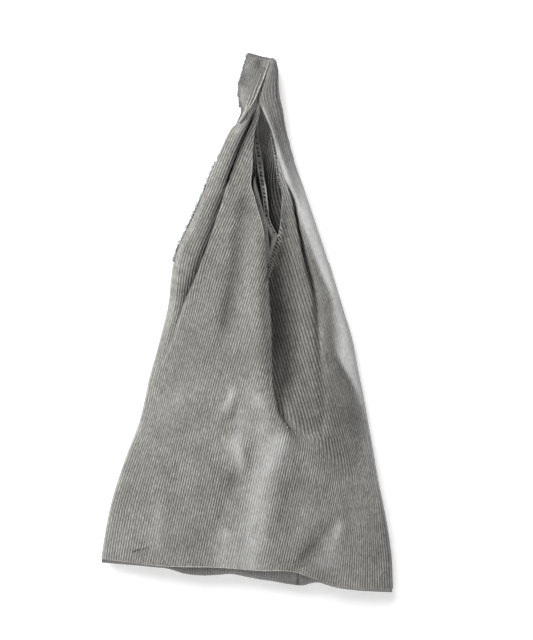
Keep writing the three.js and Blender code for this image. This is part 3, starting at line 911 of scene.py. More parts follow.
columns = rib_columns(0, CLOTH_WIDTH, 2)
foot = hem_of(columns)
front_x = LEFT_FOOT + columns + LEAN_LOW * (HEM_LEFT_DROP - foot)
rear_x = left_side(BACK_FOOT) + (right_side(BACK_FOOT) - left_side(BACK_FOOT)) * columns / CLOTH_WIDTH
front_y = oval(front_x, foot)
rear_y = -back_oval(rear_x, hem_drop(rear_x))
t = np.linspace(0, 1, BASE_ROWS)[:, None]
x = front_x + (rear_x - front_x) * t
depth = front_y + (rear_y - front_y) * t
drop = foot + (hem_drop(rear_x) + BACK_HEM_BELOW - foot) * t
drop = drop + sag(x) * np.sin(np.pi * t) ** 0.8
u = np.broadcast_to(columns[None, :], x.shape)
points = raised(np.stack([x, depth, drop], 2), u, drop, 0.8, cord(u), 31)
# Painted shade: the base is darker just under the hem and along a crease.
under_hem = 0.5 * (1 - t) ** 6 * np.ones_like(x)
shaded = np.maximum(under_hem, 0.7 * np.exp(-(((x - BASE_CREASE_X + 2 * t) / 2.2) ** 2)))
base = make_mesh("base_cloth", points, grid_faces(*x.shape), rib=cord(u).ravel(), wear=0.0,
                 unfaded=shaded.ravel())
print("base:", len(base.data.polygons), "faces")

# %% [markdown]
# ## Hand loops
#
# A loop is the narrow end of a shoulder. The left one turns over once, so its upper band crosses in front
# with its seam at the top. The right one is folded to a narrow strap that turns over to the back at its
# top. A curve with a bevel can't carry ribs that taper, so a band is drawn through a few cross lines
# instead.


# %% Bands through cross lines
def lofted(name, lines, columns, rows, ribs_at, amount=1.0, seed=41, flip=False, wear_value=0.1, kept=0.0,
           loose=0.0, settle=None):
    """A ribbed band through cross lines: (left end, right end, bulge), ends as (x, depth, drop); kept is its
    painted shade.
    """
    ends = np.array([[a, b] for a, b, _ in lines], float)
    bulge = np.array([c for _, _, c in lines], float)
    steps = np.concatenate([[0], np.cumsum(np.linalg.norm(np.diff(ends.mean(1), axis=0), axis=1))])
    s = np.linspace(0, steps[-1], rows)
    left = np.stack([through(list(zip(steps, ends[:, 0, k])))(s) for k in range(3)], 1)
    right = np.stack([through(list(zip(steps, ends[:, 1, k])))(s) for k in range(3)], 1)
    swell = through(list(zip(steps, bulge)))(s)
    c = np.linspace(0, 1, columns)[None, :]
    flat = left[:, None, :] + (right - left)[:, None, :] * c[..., None]
    outward = -1 if flip else 1
    n = outward * normals(flat)
    points = flat + n * (swell[:, None] * np.sin(np.pi * c))[..., None]
    if settle is not None:
        points = settle(points)
        n = outward * normals(points)
    down = s[:, None]
    u = np.broadcast_to(ribs_at(c, (right - left)[:, :1]), points.shape[:2])
    height = calmed(cord(u), np.clip(1 - loose + loose * grain(u * 0.32, down * 0.05, seed + 5), 0.1, 1))
    lift = RIB_HEIGHT * amount * height * (1 + 0.2 * grain(u * 0.9, down * 0.07, seed))
    pale_tone = wear_value(c, down).ravel() if callable(wear_value) else wear_value
    # Painted shade, made patchy by noise.
    dark = np.clip(kept + 0.5 * kept * grain(u * 0.3, down * 0.14, seed + 3), 0, 1)
    faces = grid_faces(rows, columns)
    obj = make_mesh(name, points + n * lift[..., None], faces[:, ::-1] if flip else faces, rib=height.ravel(),
                    wear=pale_tone, unfaded=dark.ravel())
    print(name, len(obj.data.polygons), "faces")
    return obj


# %% Left loop
LOOP_ROWS = 30
BEHIND_BAND = 22
BAND_RIBS = 10
BAND_LINES = [
    ((-17.8, 2.5, -15.2), (9.0, 7.5, -6.5), 0.3),
    ((-18.2, 9, -10), (8.6, 13, -2), 0.8),
    ((-20.8, 13.5, -2), (6.6, 16.5, 5), 1.5),
    ((-24.8, 16, 12), (2, 18.5, 18), 2),
    ((-29.2, 17, 27), (-3.6, 19.5, 32), 2),
    ((-28.9, 17, 39), (-9.2, 19.5, 45.5), 1.5),
    ((-27, 16.5, 54), (-16.8, 18.5, 57.5), 1),
    ((-27.6, 15.5, 64.8), (-23, 17, 67), 0.4),
    ((-30.5, 14, 73.7), (-29.2, 14.5, 74.5), 0),
]

# the lower part has the ribs of the shoulder, up to where they pass behind the band
columns_low = columns_left[columns_left <= float(left_limit(np.array(NECK))) + 1e-6]
climbing = np.linspace(18, NECK, 150)
tops = np.interp(columns_low, np.maximum.accumulate(left_limit(climbing)), climbing)
left_low, left_low_plain = front_cloth("left_loop_low", columns_low, np.maximum(tops, BEHIND_BAND),
                                       np.full(len(columns_low), NECK), LOOP_ROWS)


def band_ribs(c, wide):
    """Ribs across the band, the same number at every height."""
    return c * BAND_RIBS * RIB


def band_rub(c, s):
    """The band is rubbed near its point."""
    return 0.1 + 0.45 * ease(44, 52, s) * ease(76, 66, s) * ease(0.8, 0.5, c)


left_band = lofted("left_loop_band", BAND_LINES, 61, 60, band_ribs, amount=0.8, seed=43, kept=0.34, loose=0.6,
                   wear_value=band_rub)

# %% Right loop
STRAP_TOP = -9
STRAP_ROWS = 40
STRAP_RIBS = 0.65
STRAP_TURN, STRAP_TURN_LENGTH = 14, 23.5

at_neck = columns_right[columns_right >= float(right_limit(np.array(NECK))) - 1e-6]
share = (right_rib(at_neck, NECK) - mouth_right(NECK)) / (right_side(NECK) - mouth_right(NECK))
drop = np.linspace(STRAP_TOP, NECK, STRAP_ROWS)[:, None]
u = np.broadcast_to(at_neck[None, :], (STRAP_ROWS, len(at_neck)))
x = mouth_right(drop) + (right_side(drop) - mouth_right(drop)) * share[None, :]
depth = right_depth(x, drop) + 2.0 * ease(70, 40, drop)
depth = depth + 2.5 * np.sin(np.pi * share)[None, :] * ease(110, 40, drop)
over_rail = np.clip((STRAP_TURN - drop) / STRAP_TURN_LENGTH, 0, 1)
depth = depth * np.sqrt(np.clip(1 - over_rail**2, 0, 1))
drop = np.broadcast_to(drop, x.shape)
height = cord(flank_phase(u), 1)
points = raised(np.stack([x, depth, drop], 2), u, drop, STRAP_RIBS, height, FRONT_SEED)
pale_tone = np.clip(0.1 + wear(x, drop) + painted_edge_highlight(x, drop), 0, 1)
# Painted shade, also stronger towards the top of the strap.
shaded = np.maximum(unfaded(x, drop), 0.26 * ease(115, 100, drop))
right_loop_front = make_mesh("right_loop_front", points, grid_faces(*x.shape), rib=calmed(height, 0.7).ravel(),
                             wear=pale_tone.ravel(), drawn=drawn(x, drop).ravel(), unfaded=shaded.ravel())
print("right_loop_front", len(right_loop_front.data.polygons), "faces")

# %% Backs of the loops
LOOP_BACK_COLUMNS = 97
LEFT_LOOP_BACK = [
    ((-17.8, 2.0, -15.2), (9.0, 7, -6.5), 0),
    ((-17, -5.5, -12.5), (8, -3, -10.5), 0),
    ((-20, -9.5, 0), (3, -9.5, 2), 0.5),
    ((-24, -9, 24), (-5, -10.2, 26), 0.6),
    ((-26, -7, 56), (-6.4, -10.4, 58), 0.6),
    ((-42, -5, 90), (-5.7, -10.4, 90), 1.2),
    ((-58.5, -3.6, 120), (-2.3, -10.4, 120), 2),
]
RIGHT_LOOP_BACK = [
    ((11, 0, -9), (15, 0, -9), 0.3),
    ((9.5, -6.5, -7), (18, -6, -6.5), 0.6),
    ((4, -11.5, 2), (20, -9.5, 2), 0.6),
    ((-4.8, -12.4, 32), (21.5, -9, 32), 0.6),
    ((-5.1, -12.6, 60), (26, -6.5, 60), 1),
    ((-4.4, -12.7, 90), (32.4, -4.8, 90), 1.4),
    ((-1.4, -12.8, 120), (40.8, -3.8, 120), 2),
]
LEFT_NECK_EDGE = LEFT_LOOP_BACK[-1][1][0]
RIGHT_NECK_EDGE = RIGHT_LOOP_BACK[-1][0][0]


def onto_shoulder(shift):
    """Lets a loop's back take the form of its shoulder towards the neck."""

    def settle(points):
        x, depth, drop = points[..., 0], points[..., 1], points[..., 2]
        depth = depth + (shift - back_depth(x, drop) - depth) * ease(70, NECK, drop)
        return np.stack([x, depth, drop], 2)

    return settle


def rib_at_neck(x):
    """Place of the rib that passes x at the neck of the back."""
    return U_MIDDLE + (x - float(back_middle(NECK))) / RIB_GATHER


def left_loop_ribs(c, wide):
    """Ribs of the left loop's back, counted from its inner edge."""
    return rib_at_neck(LEFT_NECK_EDGE) + (c - 1) * wide / RIB_GATHER


def right_loop_ribs(c, wide):
    """Ribs of the right loop's back, counted from its inner edge."""
    return rib_at_neck(RIGHT_NECK_EDGE) + c * wide / RIB_GATHER


left_loop_back = lofted("left_loop_back", LEFT_LOOP_BACK, LOOP_BACK_COLUMNS, 50, left_loop_ribs, seed=45,
                        flip=True, wear_value=0.02, settle=onto_shoulder(LEFT_BACK_SHIFT))
right_loop_back = lofted("right_loop_back", RIGHT_LOOP_BACK, LOOP_BACK_COLUMNS, 44, right_loop_ribs, seed=46,
                         flip=True, wear_value=0.02, settle=onto_shoulder(RIGHT_BACK_SHIFT))

# %% [markdown]
# ## Tools for thread
#
# Small things make cloth believable. Rolled hems are thin tubes, overlock stitches are short bars that
# wrap an edge, and loose fibres are bent hairs of three sides. Hair particles could do the last, but
# plain meshes bend with the cloth and go into any export.


# %% Tools for thread
def tubes(name, runs, radius, sides=6, **values):
    """One mesh of round tubes along runs of points. The radius is a number, or numbers along a run."""
    points, faces, start = [], [], 0
    turn = np.linspace(0, 2 * np.pi, sides, endpoint=False)
    for run in runs:
        run = np.asarray(run, float)
        n = len(run)
        r = np.interp(np.linspace(0, 1, n), np.linspace(0, 1, np.size(radius)), np.ravel(radius))
        ahead = np.gradient(run, axis=0)
        ahead /= np.maximum(np.linalg.norm(ahead, axis=1, keepdims=True), 1e-9)
        side = np.cross(ahead, np.array([0.31, 0.9, 0.29]))
        side /= np.maximum(np.linalg.norm(side, axis=1, keepdims=True), 1e-9)
        up = np.cross(side, ahead)
        ring = side[:, None] * np.cos(turn)[None, :, None] + up[:, None] * np.sin(turn)[None, :, None]
        points.append((run[:, None] + r[:, None, None] * ring).reshape(-1, 3))
        for i in range(n - 1):
            for k in range(sides):
                a, b = start + i * sides + k, start + i * sides + (k + 1) % sides
                faces.append((a, b, b + sides, a + sides))
        faces.append(tuple(start + k for k in reversed(range(sides))))
        faces.append(tuple(start + (n - 1) * sides + k for k in range(sides)))
        start += n * sides
    return make_mesh(name, np.concatenate(points), faces, **{"rib": 0.8, "wear": 0.2, **values})


def walk(run, step):
    """Points and directions at an even step along a run."""
    run = np.asarray(run, float)
    length = np.concatenate([[0], np.cumsum(np.linalg.norm(np.diff(run, axis=0), axis=1))])
    at = np.arange(step / 2, length[-1], step)
    place = np.stack([np.interp(at, length, run[:, k]) for k in range(3)], 1)
    apart = length + np.arange(len(length)) * 1e-6
    ahead = np.stack([np.interp(at, length, np.gradient(run[:, k], apart)) for k in range(3)], 1)
    return place, ahead / np.maximum(np.linalg.norm(ahead, axis=1, keepdims=True), 1e-9)


def hairs(run, outward, step, length, seed):
    """Bent hairs that stand out from a run, mostly to one side."""
    rng = np.random.default_rng(seed)
    made = []
    for q, a in zip(*walk(run, step)):
        way = np.array(outward) + a * rng.normal(0, 0.6) + np.array([0, rng.normal(0, 0.5), 0])
        way /= np.linalg.norm(way)
        bend = a * rng.normal(0, 0.8) + np.array([0, 0, rng.uniform(-0.2, 0.7)])
        long = length * rng.uniform(0.4, 1.25)
        start = q - way * 0.8
        middle = start + way * long * 0.55 + bend * long * 0.08
        made.append([start, middle, start + way * long + bend * long * 0.35])
    return made


def stitches(run, across, step, length, seed, slant=0.5):
    """Short bars that lie over an edge."""
    rng = np.random.default_rng(seed)
    made = []
    for q, a in zip(*walk(run, step)):
        way = np.array(across) + a * slant * rng.uniform(0.6, 1.4)
        way /= np.linalg.norm(way)
        half = way * length * rng.uniform(0.35, 0.62)
        lift = np.array([0, 0.7, 0])
        q = q + a * step * rng.normal(0, 0.16)
        made.append([q - half, q + lift + a * 0.1, q + half])
    return made


print("thread along 10 mm:", len(walk([(0, 0, 0), (0, 0, 10)], 2)[0]), "stitches at a step of 2 mm")

# %% [markdown]
# ## Hems
#
# Cut edges of cloth are turned and stitched, which leaves a thick rounded edge. A bevel would round all
# edges the same way. A tube along the edge can swell and thin out, and it hides the end of the sheet. The
# right shoulder lies over the left one at the back, so its hem shows there.

# %% Hems
HEM_RADIUS = 1.3
HEM_SIDES = 6
BACK_HEM_FOOT = 216


def first_column(obj, columns):
    """The points down the first side of a lofted band, as (x, depth, drop)."""
    side = np.array([v.co for v in obj.data.vertices])[::columns] * 1000
    return np.stack([side[:, 0], -side[:, 1], -side[:, 2]], 1)


drop = np.linspace(NECK, BACK_HEM_FOOT, 60)
x = overlap_right(drop) + 1.5
back_hem_run = np.stack([x, RIGHT_BACK_SHIFT - back_depth(x, drop) + 0.5, drop], 1)
right_back_hem = tubes("right_mouth_hem_back_roll", [back_hem_run], [HEM_RADIUS] * 8 + [0.6], rib=0.75,
                       wear=0.1)
loop_hem_run = first_column(right_loop_back, LOOP_BACK_COLUMNS)[3:] + (1.5, 1.3, 0)
right_loop_back_hem = tubes("right_loop_hem_back_roll", [loop_hem_run], [0.6] + [HEM_RADIUS] * 9, rib=0.75,
                            wear=0.1)

foot_run = front_plain[-1, ::3].copy()
foot_run[:, 1] += 0.6
hem_tone = 0.3 + 0.55 * ease(-165, -120, foot_run[:, 0]) * ease(62, 36, foot_run[:, 0])
hem_roll = tubes("front_hem_roll", [foot_run], 0.75, HEM_SIDES, rib=np.repeat(hem_tone, HEM_SIDES), wear=0.1)
side_rolls = tubes("side_rolls", [front_plain[:, 0], front_plain[:, -1]], 1.0, wear=0.6)

on_mouth = columns_left > float(left_limit(np.array(NECK)))
left_mouth_roll = tubes("left_mouth_roll", [left_front_plain[0, on_mouth][::2]], 0.9, rib=0.5, wear=0.1)
on_mouth = columns_right < float(right_limit(np.array(NECK)))
right_mouth_roll = tubes("right_mouth_roll", [right_front_plain[0, on_mouth][::2]], 0.7, rib=0.4, wear=0.0)
print("front hem", round(float(np.ptp(foot_run[:, 0]))), "mm long")

# %% [markdown]
# ## Strips inside the mouth
#
# The hem allowance of the left back shows inside the mouth as a pale strip with stitches across it, and
# the turned edges of the front show beside it. They could be extruded from the cloth. Flat strips along
# their own lines are easier to place, and each one bends with its shoulder or its loop.

# %% Inner strip of the left back
STRIP_FOOT = 219
strip_line = through([
    (52, -7), (97, -6.7), (118, -3.8), (138, -1.3), (160, 2.5), (182, 5), (196, 7), (208, 12.3), (220, 19.7)])
strip_width = through([(88, 3), (105, 5.5), (150, 5.4), (200, 4.2), (220, 3)])


def strip(name, centre, width, drops, depth_of, wear_value, rib_value):
    """A flat strip of cloth along a line."""
    rows, columns = 40, 5
    drop = np.linspace(*drops, rows)[:, None]
    c = np.linspace(-0.5, 0.5, columns)[None, :]
    x = centre(drop) + width(drop) * c
    depth = depth_of(x, drop) + 0.5 * np.cos(np.pi * c)
    points = np.stack([x, depth, np.broadcast_to(drop, x.shape)], 2)
    return make_mesh(name, points, grid_faces(rows, columns), rib=rib_value, wear=wear_value)


def behind(x, drop):
    """Depth of the inner strip, in front of the back."""
    return -back_oval(x, drop) + 10.0


def ladder_run(low, high):
    """A run along the middle of the inner strip."""
    drop = np.linspace(low, high, 60)
    return np.stack([strip_line(drop), behind(strip_line(drop), drop) + 0.7, drop], 1)


def ladder_stitches(name, low, high, seed):
    """Stitches across the inner strip."""
    bars = stitches(ladder_run(low, high), (1, 0, 0.1), 5.6, 3.4, seed)
    return tubes(name, bars, [0.6, 1.1, 0.6], 5)


def rails(low, high):
    """Runs along both sides of the inner strip."""
    run = ladder_run(low, high)
    half = strip_width(run[:, 2])[:, None] * np.array([0.5, 0, 0])
    return [run - half - (0, 0.4, 0), run + half - (0, 0.4, 0)]


inner_strip = strip("left_inner_strip", strip_line, strip_width, (NECK, STRIP_FOOT), behind, 0.1, 0.8)
inner_strip_up = strip("left_loop_inner_strip", strip_line, strip_width, (90, NECK), behind, 0.1, 0.8)
inner_thread = ladder_stitches("left_inner_thread", 122, 214, 5)
inner_thread_up = ladder_stitches("left_loop_inner_thread", 91, 119, 6)
RAIL_RADII = [0.6, 1.1, 0.7, 1.2, 0.6, 1.0, 0.7, 1.1, 0.6]
inner_rails = tubes("left_inner_rails", rails(NECK, STRIP_FOOT), RAIL_RADII, rib=1.0, wear=0.9)
inner_rails_up = tubes("left_loop_inner_rails", rails(92, NECK), [0.5, 0.8, 0.6], rib=1.0, wear=0.7)
print("inner strip", round(float(strip_width(150)), 1), "mm wide")

# %% Turned edges of the front
sliver_line = through([
    (140, -9), (150, -9.5), (165, -6.5), (183, -1.8), (202, 3.2), (214, 5), (223, 5.7), (243, 8), (257, 9)])
sliver_width = through([
    (140, 0.6), (158, 4.6), (185, 5.6), (205, 5.6), (223, 5), (243, 4.6), (257, 1.0)])
edge_line = through([(88, 11), (118, 17), (145, 21), (158, 24)])
edge_width = through([(86, 1.6), (100, 3.4), (120, 3.6), (140, 3.2), (158, 1.5)])
CORNER_ROWS, CORNER_COLUMNS = 26, 15


def under_lip(x, drop):
    """Depth just behind the left edge of the mouth."""
    return left_depth(left_lip(drop), drop) - 3.0 - 0.5 * (x - left_lip(drop))


def mouth_corner_cloth():
    """A small corner of the inner hem that closes the foot of the mouth below the strip."""
    drop = np.linspace(194, 264, CORNER_ROWS)[:, None]
    c = np.linspace(0, 1, CORNER_COLUMNS)[None, :]
    lip = left_lip(drop) - 0.5
    low = lip - 9
    high = np.where(drop < MOUTH_FOOT, strip_line(np.minimum(drop, 220)) + 1.0, tongue_start(drop) + 0.6)
    high = np.maximum(high, lip + 0.4)
    x = low + (high - low) * c
    past_lip = np.clip((x - lip) / (high - lip), 0, 1)
    near = left_depth(lip, drop) - 9
    blend = ease(205, 228, drop)
    far = (behind(high, drop) + 0.4) * (1 - blend) + (right_depth(high, drop) - 1.0) * blend
    points = np.stack([x, near + (far - near) * past_lip, np.broadcast_to(drop, x.shape)], 2)
    # Painted shade along the left border under the lip and towards the foot.
    kept = np.maximum(ease(0.62, 0.5, past_lip), 0.65 * ease(238, 250, drop) * np.ones_like(c))
    return make_mesh("left_mouth_corner", points, grid_faces(CORNER_ROWS, CORNER_COLUMNS), rib=0.75, wear=0.0,
                     unfaded=kept.ravel())


def under_edge(x, drop):
    """Depth just behind the right edge of the mouth, the same across the strip."""
    return right_depth(mouth_right(drop), drop) - 4


def edge_stitches(name, low, high, seed):
    """Stitches along the turned edge on the right of the mouth."""
    drop = np.linspace(low, high, 24)
    run = np.stack([edge_line(drop), under_edge(0, drop) + 0.8, drop], 1)
    return tubes(name, stitches(run, (1, 0, 0.1), 4.4, 2.6, seed, 0.6), 0.55, 5)


sliver = strip("left_turned_edge", sliver_line, sliver_width, (142, 256), under_lip, 0.0, 0.15)
mouth_corner = mouth_corner_cloth()
# The right turned edges get a low rib value: painted shade that darkens them inside the mouth.
right_strip = strip("right_turned_edge", edge_line, edge_width, (NECK, 157), under_edge, 0.0, 0.2)
right_strip_up = strip("right_loop_turned_edge", edge_line, edge_width, (88, NECK), under_edge, 0.0, 0.2)
right_strip_thread = edge_stitches("right_inner_thread", 122, 156, 16)
right_strip_thread_up = edge_stitches("right_loop_inner_thread", 90, 118, 17)
print("turned edges:", len(sliver.data.polygons) + len(right_strip.data.polygons), "faces at the shoulders")

# %% [markdown]
# ## Edges of the band and the armholes
#
# The band has a hem of cords along its right edge and a seam over the top. Its left edge and the armhole
# are only overlocked, so they have dark stitches, a knotted thread and loose pale fibres. A rough texture
# can't change the outline of an edge, and here the outline tells cut cloth from folded cloth.

# %% Edges of the band
band_left = np.array([left for left, _, _ in BAND_LINES])
band_right = np.array([right for _, right, _ in BAND_LINES])
FRAY_RADII = [0.6, 0.5, 0.2]


def band_run(share, lift):
    """A run down the band at a share of its width from the right edge."""
    line = band_right + (band_left - band_right) * share
    steps = np.linspace(0, len(line) - 1, 60)
    run = np.stack([np.interp(steps, np.arange(len(line)), line[:, k]) for k in range(3)], 1)
    run[:, 1] += lift
    return run


hem_cords = [band_run(0.0, 0.6), band_run(0.17, 1.7)[20:], band_run(0.36, 1.8)[30:]]
band_hem = tubes("left_band_hem", hem_cords, [0.4, 0.6, 0.8, 1.0, 1.0, 0.8], rib=0.95, wear=0.4)
top_run = np.linspace(band_left[0], band_right[0], 14)
top_run[:, 2] -= 0.6 * np.sin(np.linspace(0, np.pi, 14))
band_seam = tubes("left_band_seam", [top_run], 0.9, rib=0.6, wear=0.1)
seam_marks = stitches(top_run + (0, 0.8, -0.3), (1, 0.1, 0.3), 2.6, 2.4, 8, 0.4)
band_marks = tubes("left_band_marks", seam_marks, 0.42, 5)
band_cut = band_run(1.0, 0)[2:46]
band_fray = tubes("left_band_fray", hairs(band_cut, (-1, 0.1, 0.1), 0.5, 4.2, 9), FRAY_RADII, 3)
print(len(seam_marks), "marks on the seam over the top")

# %% Edges of the armholes
knobs = np.random.default_rng(61)


def knotted(name, run, low, high):
    """An overlocked edge: a run of thread that swells and thins."""
    place, _ = walk(run, 1.3)
    return tubes(name, [place + knobs.normal(0, 0.35, place.shape)], knobs.uniform(low, high, len(place)), 6)


left_edge = left_front_plain[:, 0]
left_edge = left_edge[left_edge[:, 2] > 122]
left_bars = stitches(left_edge + (0.4, 0.6, 0), (1, 0.2, -0.5), 2.7, 3.0, 11, 0.9)
left_armhole_thread = tubes("left_armhole_thread", left_bars, 0.4, 5)
left_hairs = hairs(left_edge, (-0.9, 0.1, -0.45), 0.6, 5.0, 12)
left_armhole_fray = tubes("left_armhole_fray", left_hairs, FRAY_RADII, 3)
right_bars = stitches(right_front_plain[:, -1] - (1.6, 0.6, 0), (1, 0.2, 0.3), 4.2, 2.0, 13, 0.3)
right_armhole_thread = tubes("right_armhole_thread", right_bars, 0.3, 5)
edge_knots = knotted("left_armhole_knots", left_edge[left_edge[:, 2] > 126] - (1.2, 0, 0), 0.3, 1.9)
band_knots = knotted("left_band_knots", band_cut - (0.5, 0, 0), 0.3, 1.7)
print(len(left_bars), "stitches and", len(left_hairs), "loose fibres on the left armhole")

# %% [markdown]
# ## Rib ends, lower fray and a tuck
#
# Below the mouth the ribs of the right part turn under and show as a row of short rounded ends. The grid
# stops there in one line, so each end is a small tube of its own. A few fibres on the lower loop and a
# stitched tuck near the lower left corner complete the cloth.

# %% Rib ends, lower fray and tuck
FIRST_END = 206
END_LENGTH = 8
END_WAY = np.array([0.6, 0.8])
END_RISE = [0.2, 1.3, 1.5, 1.4, 1.0, 0.2]

end_runs = []
for at in np.cumsum(np.concatenate([[FIRST_END], np.linspace(4.6, 3.2, 15)])):
    start = (mouth_right(at) if at < MOUTH_FOOT else tongue_start(at)) - 0.4
    line = np.array([start, at]) + np.linspace(0, END_LENGTH, len(END_RISE))[:, None] * END_WAY
    x, drop = line.T
    end_runs.append(np.stack([x, right_depth(x, drop) + END_RISE, drop], 1))
rib_ends = tubes("rib_ends", end_runs, [0.5, 0.85, 0.8, 0.6, 0.3], 6, rib=1.0, wear=0.5)

low_edge = left_low_plain[:, 0]
low_edge = low_edge[(low_edge[:, 2] > 84) & (low_edge[:, 2] < 119)]
low_hairs = hairs(low_edge, (-0.9, 0.1, -0.4), 1.2, 2.0, 14)
left_loop_fray = tubes("left_loop_fray", low_hairs, [0.4, 0.3, 0.12], 3)

tuck_run = np.array([(-165, 0, 620.5), (-160, 0, 617), (-152, 0, 615.5), (-143, 0, 613)], float)
tuck_run[:, 1] = left_depth(tuck_run[:, 0], tuck_run[:, 2]) + 1.0
# The tuck is painted dark: painted shade in its pucker.
tuck = tubes("corner_tuck", [tuck_run], [0.3, 0.6, 0.3], 5, rib=0.2, wear=0.0, unfaded=0.6)
print(len(end_runs), "rib ends")

# %% [markdown]
# ## Corduroy
#
# Crowns of ribs are pale, grooves dark, and places worn pale and places with a painted highlight are paler
# still; painted shade darkens folds, hollows, creases and grooves. A striped texture would need its own
# mapping, but the ribs are already values at the points, so the material only mixes colours by them.
# A fine noise stands for the pile, and a soft sheen for the way short fibres catch light at the edges.


# %% Corduroy
def corduroy(name, groove, crown, pale_tone):
    """Corduroy with the colours of its grooves, its crowns, and crowns paled by wear and painted highlights.
    """
    mat = bpy.data.materials.new(name)
    mat.use_nodes = True
    nodes, links = mat.node_tree.nodes, mat.node_tree.links
    shader = nodes["Principled BSDF"]
    shader.inputs["Roughness"].default_value = 0.95
    shader.inputs["Specular IOR Level"].default_value = 0.15
    shader.inputs["Sheen Weight"].default_value = 0.12
    shader.inputs["Sheen Roughness"].default_value = 0.45
    coords = nodes.new("ShaderNodeTexCoord")
    combed = nodes.new("ShaderNodeMapping")
    combed.inputs["Scale"].default_value = (1, 1, 0.3)
    links.new(coords.outputs["Object"], combed.inputs["Vector"])

    def point_value(value_name):
        node = nodes.new("ShaderNodeAttribute")
        node.attribute_name = value_name
        return node.outputs["Fac"]

    def noise(scale, detail, rough=0.5, along=False):
        node = nodes.new("ShaderNodeTexNoise")
        node.inputs["Scale"].default_value = scale
        node.inputs["Detail"].default_value = detail
        node.inputs["Roughness"].default_value = rough
        links.new(combed.outputs[0] if along else coords.outputs["Object"], node.inputs["Vector"])
        return node.outputs["Fac"]

    def mix(factor, a, b, kind="MIX"):
        node = nodes.new("ShaderNodeMix")
        node.data_type = "RGBA"
        node.blend_type = kind
        for socket, value in ((node.inputs[0], factor), (node.inputs[6], a), (node.inputs[7], b)):
            if hasattr(value, "is_linked"):
                links.new(value, socket)
            else:
                socket.default_value = value
        return node.outputs[2]

    def spread(value, low, high, from_low=0.0, from_high=1.0):
        node = nodes.new("ShaderNodeMapRange")
        node.inputs["From Min"].default_value = from_low
        node.inputs["From Max"].default_value = from_high
        node.inputs["To Min"].default_value = low
        node.inputs["To Max"].default_value = high
        links.new(value, node.inputs["Value"])
        return node.outputs[0]

    def combine(operation, a, b, clamp=False):
        node = nodes.new("ShaderNodeMath")
        node.operation = operation
        node.use_clamp = clamp
        links.new(a, node.inputs[0])
        links.new(b, node.inputs[1])
        return node.outputs[0]

    pile = noise(700, 2, 0.6, along=True)
    uneven = spread(noise(75, 4, 0.6), 0.65, 1.3, 0.25, 0.75)
    # Wear and painted highlights pale the crowns and the grooves.
    patchy = combine("MULTIPLY", point_value("wear"), uneven, clamp=True)
    pale = mix(patchy, (*crown, 1), (*pale_tone, 1))
    deep = mix(patchy, (*groove, 1), (*[0.35 * a + 0.65 * b for a, b in zip(groove, pale_tone)], 1))
    colour = mix(point_value("rib"), deep, pale)
    # A painted sheen, with smoother cloth, pales the colour along the right side and the turned left edge.
    smooth = point_value("drawn")
    colour = mix(smooth, colour, (*[0.98 * v for v in pale_tone], 1))
    # Painted shade darkens the colour in folds, hollows, creases and grooves.
    dark = mix(1.0, colour, (0.08, 0.08, 0.085, 1), "MULTIPLY")
    colour = mix(point_value("unfaded"), colour, dark)
    calm = combine("MAXIMUM", spread(smooth, 0, 0.6), spread(patchy, 0, 0.6))
    speckles = [
        (spread(pile, 0, 1, 0.25, 0.75), 0.42),
        (spread(noise(26, 3), 0, 1, 0.3, 0.7), 0.13),
        (spread(noise(120, 3, 0.6), 0, 1, 0.3, 0.7), 0.12),
    ]
    for value, amount in speckles:
        shade = mix(value, (*[1 - amount] * 3, 1), (*[1 + amount] * 3, 1))
        shade = mix(calm, shade, (1, 1, 1, 1))
        colour = mix(1.0, colour, shade, "MULTIPLY")
    links.new(colour, shader.inputs["Base Color"])
    bump = nodes.new("ShaderNodeBump")
    bump.inputs["Strength"].default_value = 0.35
    bump.inputs["Distance"].default_value = 0.0006
    links.new(pile, bump.inputs["Height"])
    links.new(bump.outputs["Normal"], shader.inputs["Normal"])
    return mat


warm_grey = corduroy("corduroy", (0.055, 0.054, 0.05), (0.30, 0.295, 0.276), (0.47, 0.471, 0.46))
# A darker copy of the corduroy: painted shade for the base under the hem.
shaded_base_grey = corduroy("corduroy_base", (0.05, 0.049, 0.047), (0.27, 0.266, 0.255), (0.45, 0.445, 0.43))
# A copy with darker grooves for painted shade and a paler tone for painted light inside the mouth.
shaded_inside_grey = corduroy("corduroy_inside", (0.03, 0.03, 0.029), (0.3, 0.296, 0.283), (0.5, 0.495, 0.48))
seam_grey = corduroy("seam_cloth", (0.16, 0.158, 0.148), (0.36, 0.355, 0.335), (0.5, 0.495, 0.47))
print("corduroy has", len(warm_grey.node_tree.nodes), "nodes")

# %% [markdown]
# ## Thread, and which piece gets what
#
# Thread and fibres are too thin to show a texture, so a plain dull colour does for them. Each piece then gets
# its material; the table groups the pieces by material, so that a whole finish can be changed at once, and the
# finish name beside each material is not used.


# %% Thread and finishes
def thread(name, colour):
    """Plain thread or fibre."""
    mat = bpy.data.materials.new(name)
    mat.use_nodes = True
    shader = mat.node_tree.nodes["Principled BSDF"]
    shader.inputs["Base Color"].default_value = (*colour, 1)
    shader.inputs["Roughness"].default_value = 0.9
    shader.inputs["Specular IOR Level"].default_value = 0.1
    return mat


dark_thread = thread("dark_thread", (0.05, 0.055, 0.065))
pale_fibre = thread("pale_fibre", (0.42, 0.44, 0.46))
grey_fibre = thread("grey_fibre", (0.19, 0.2, 0.22))

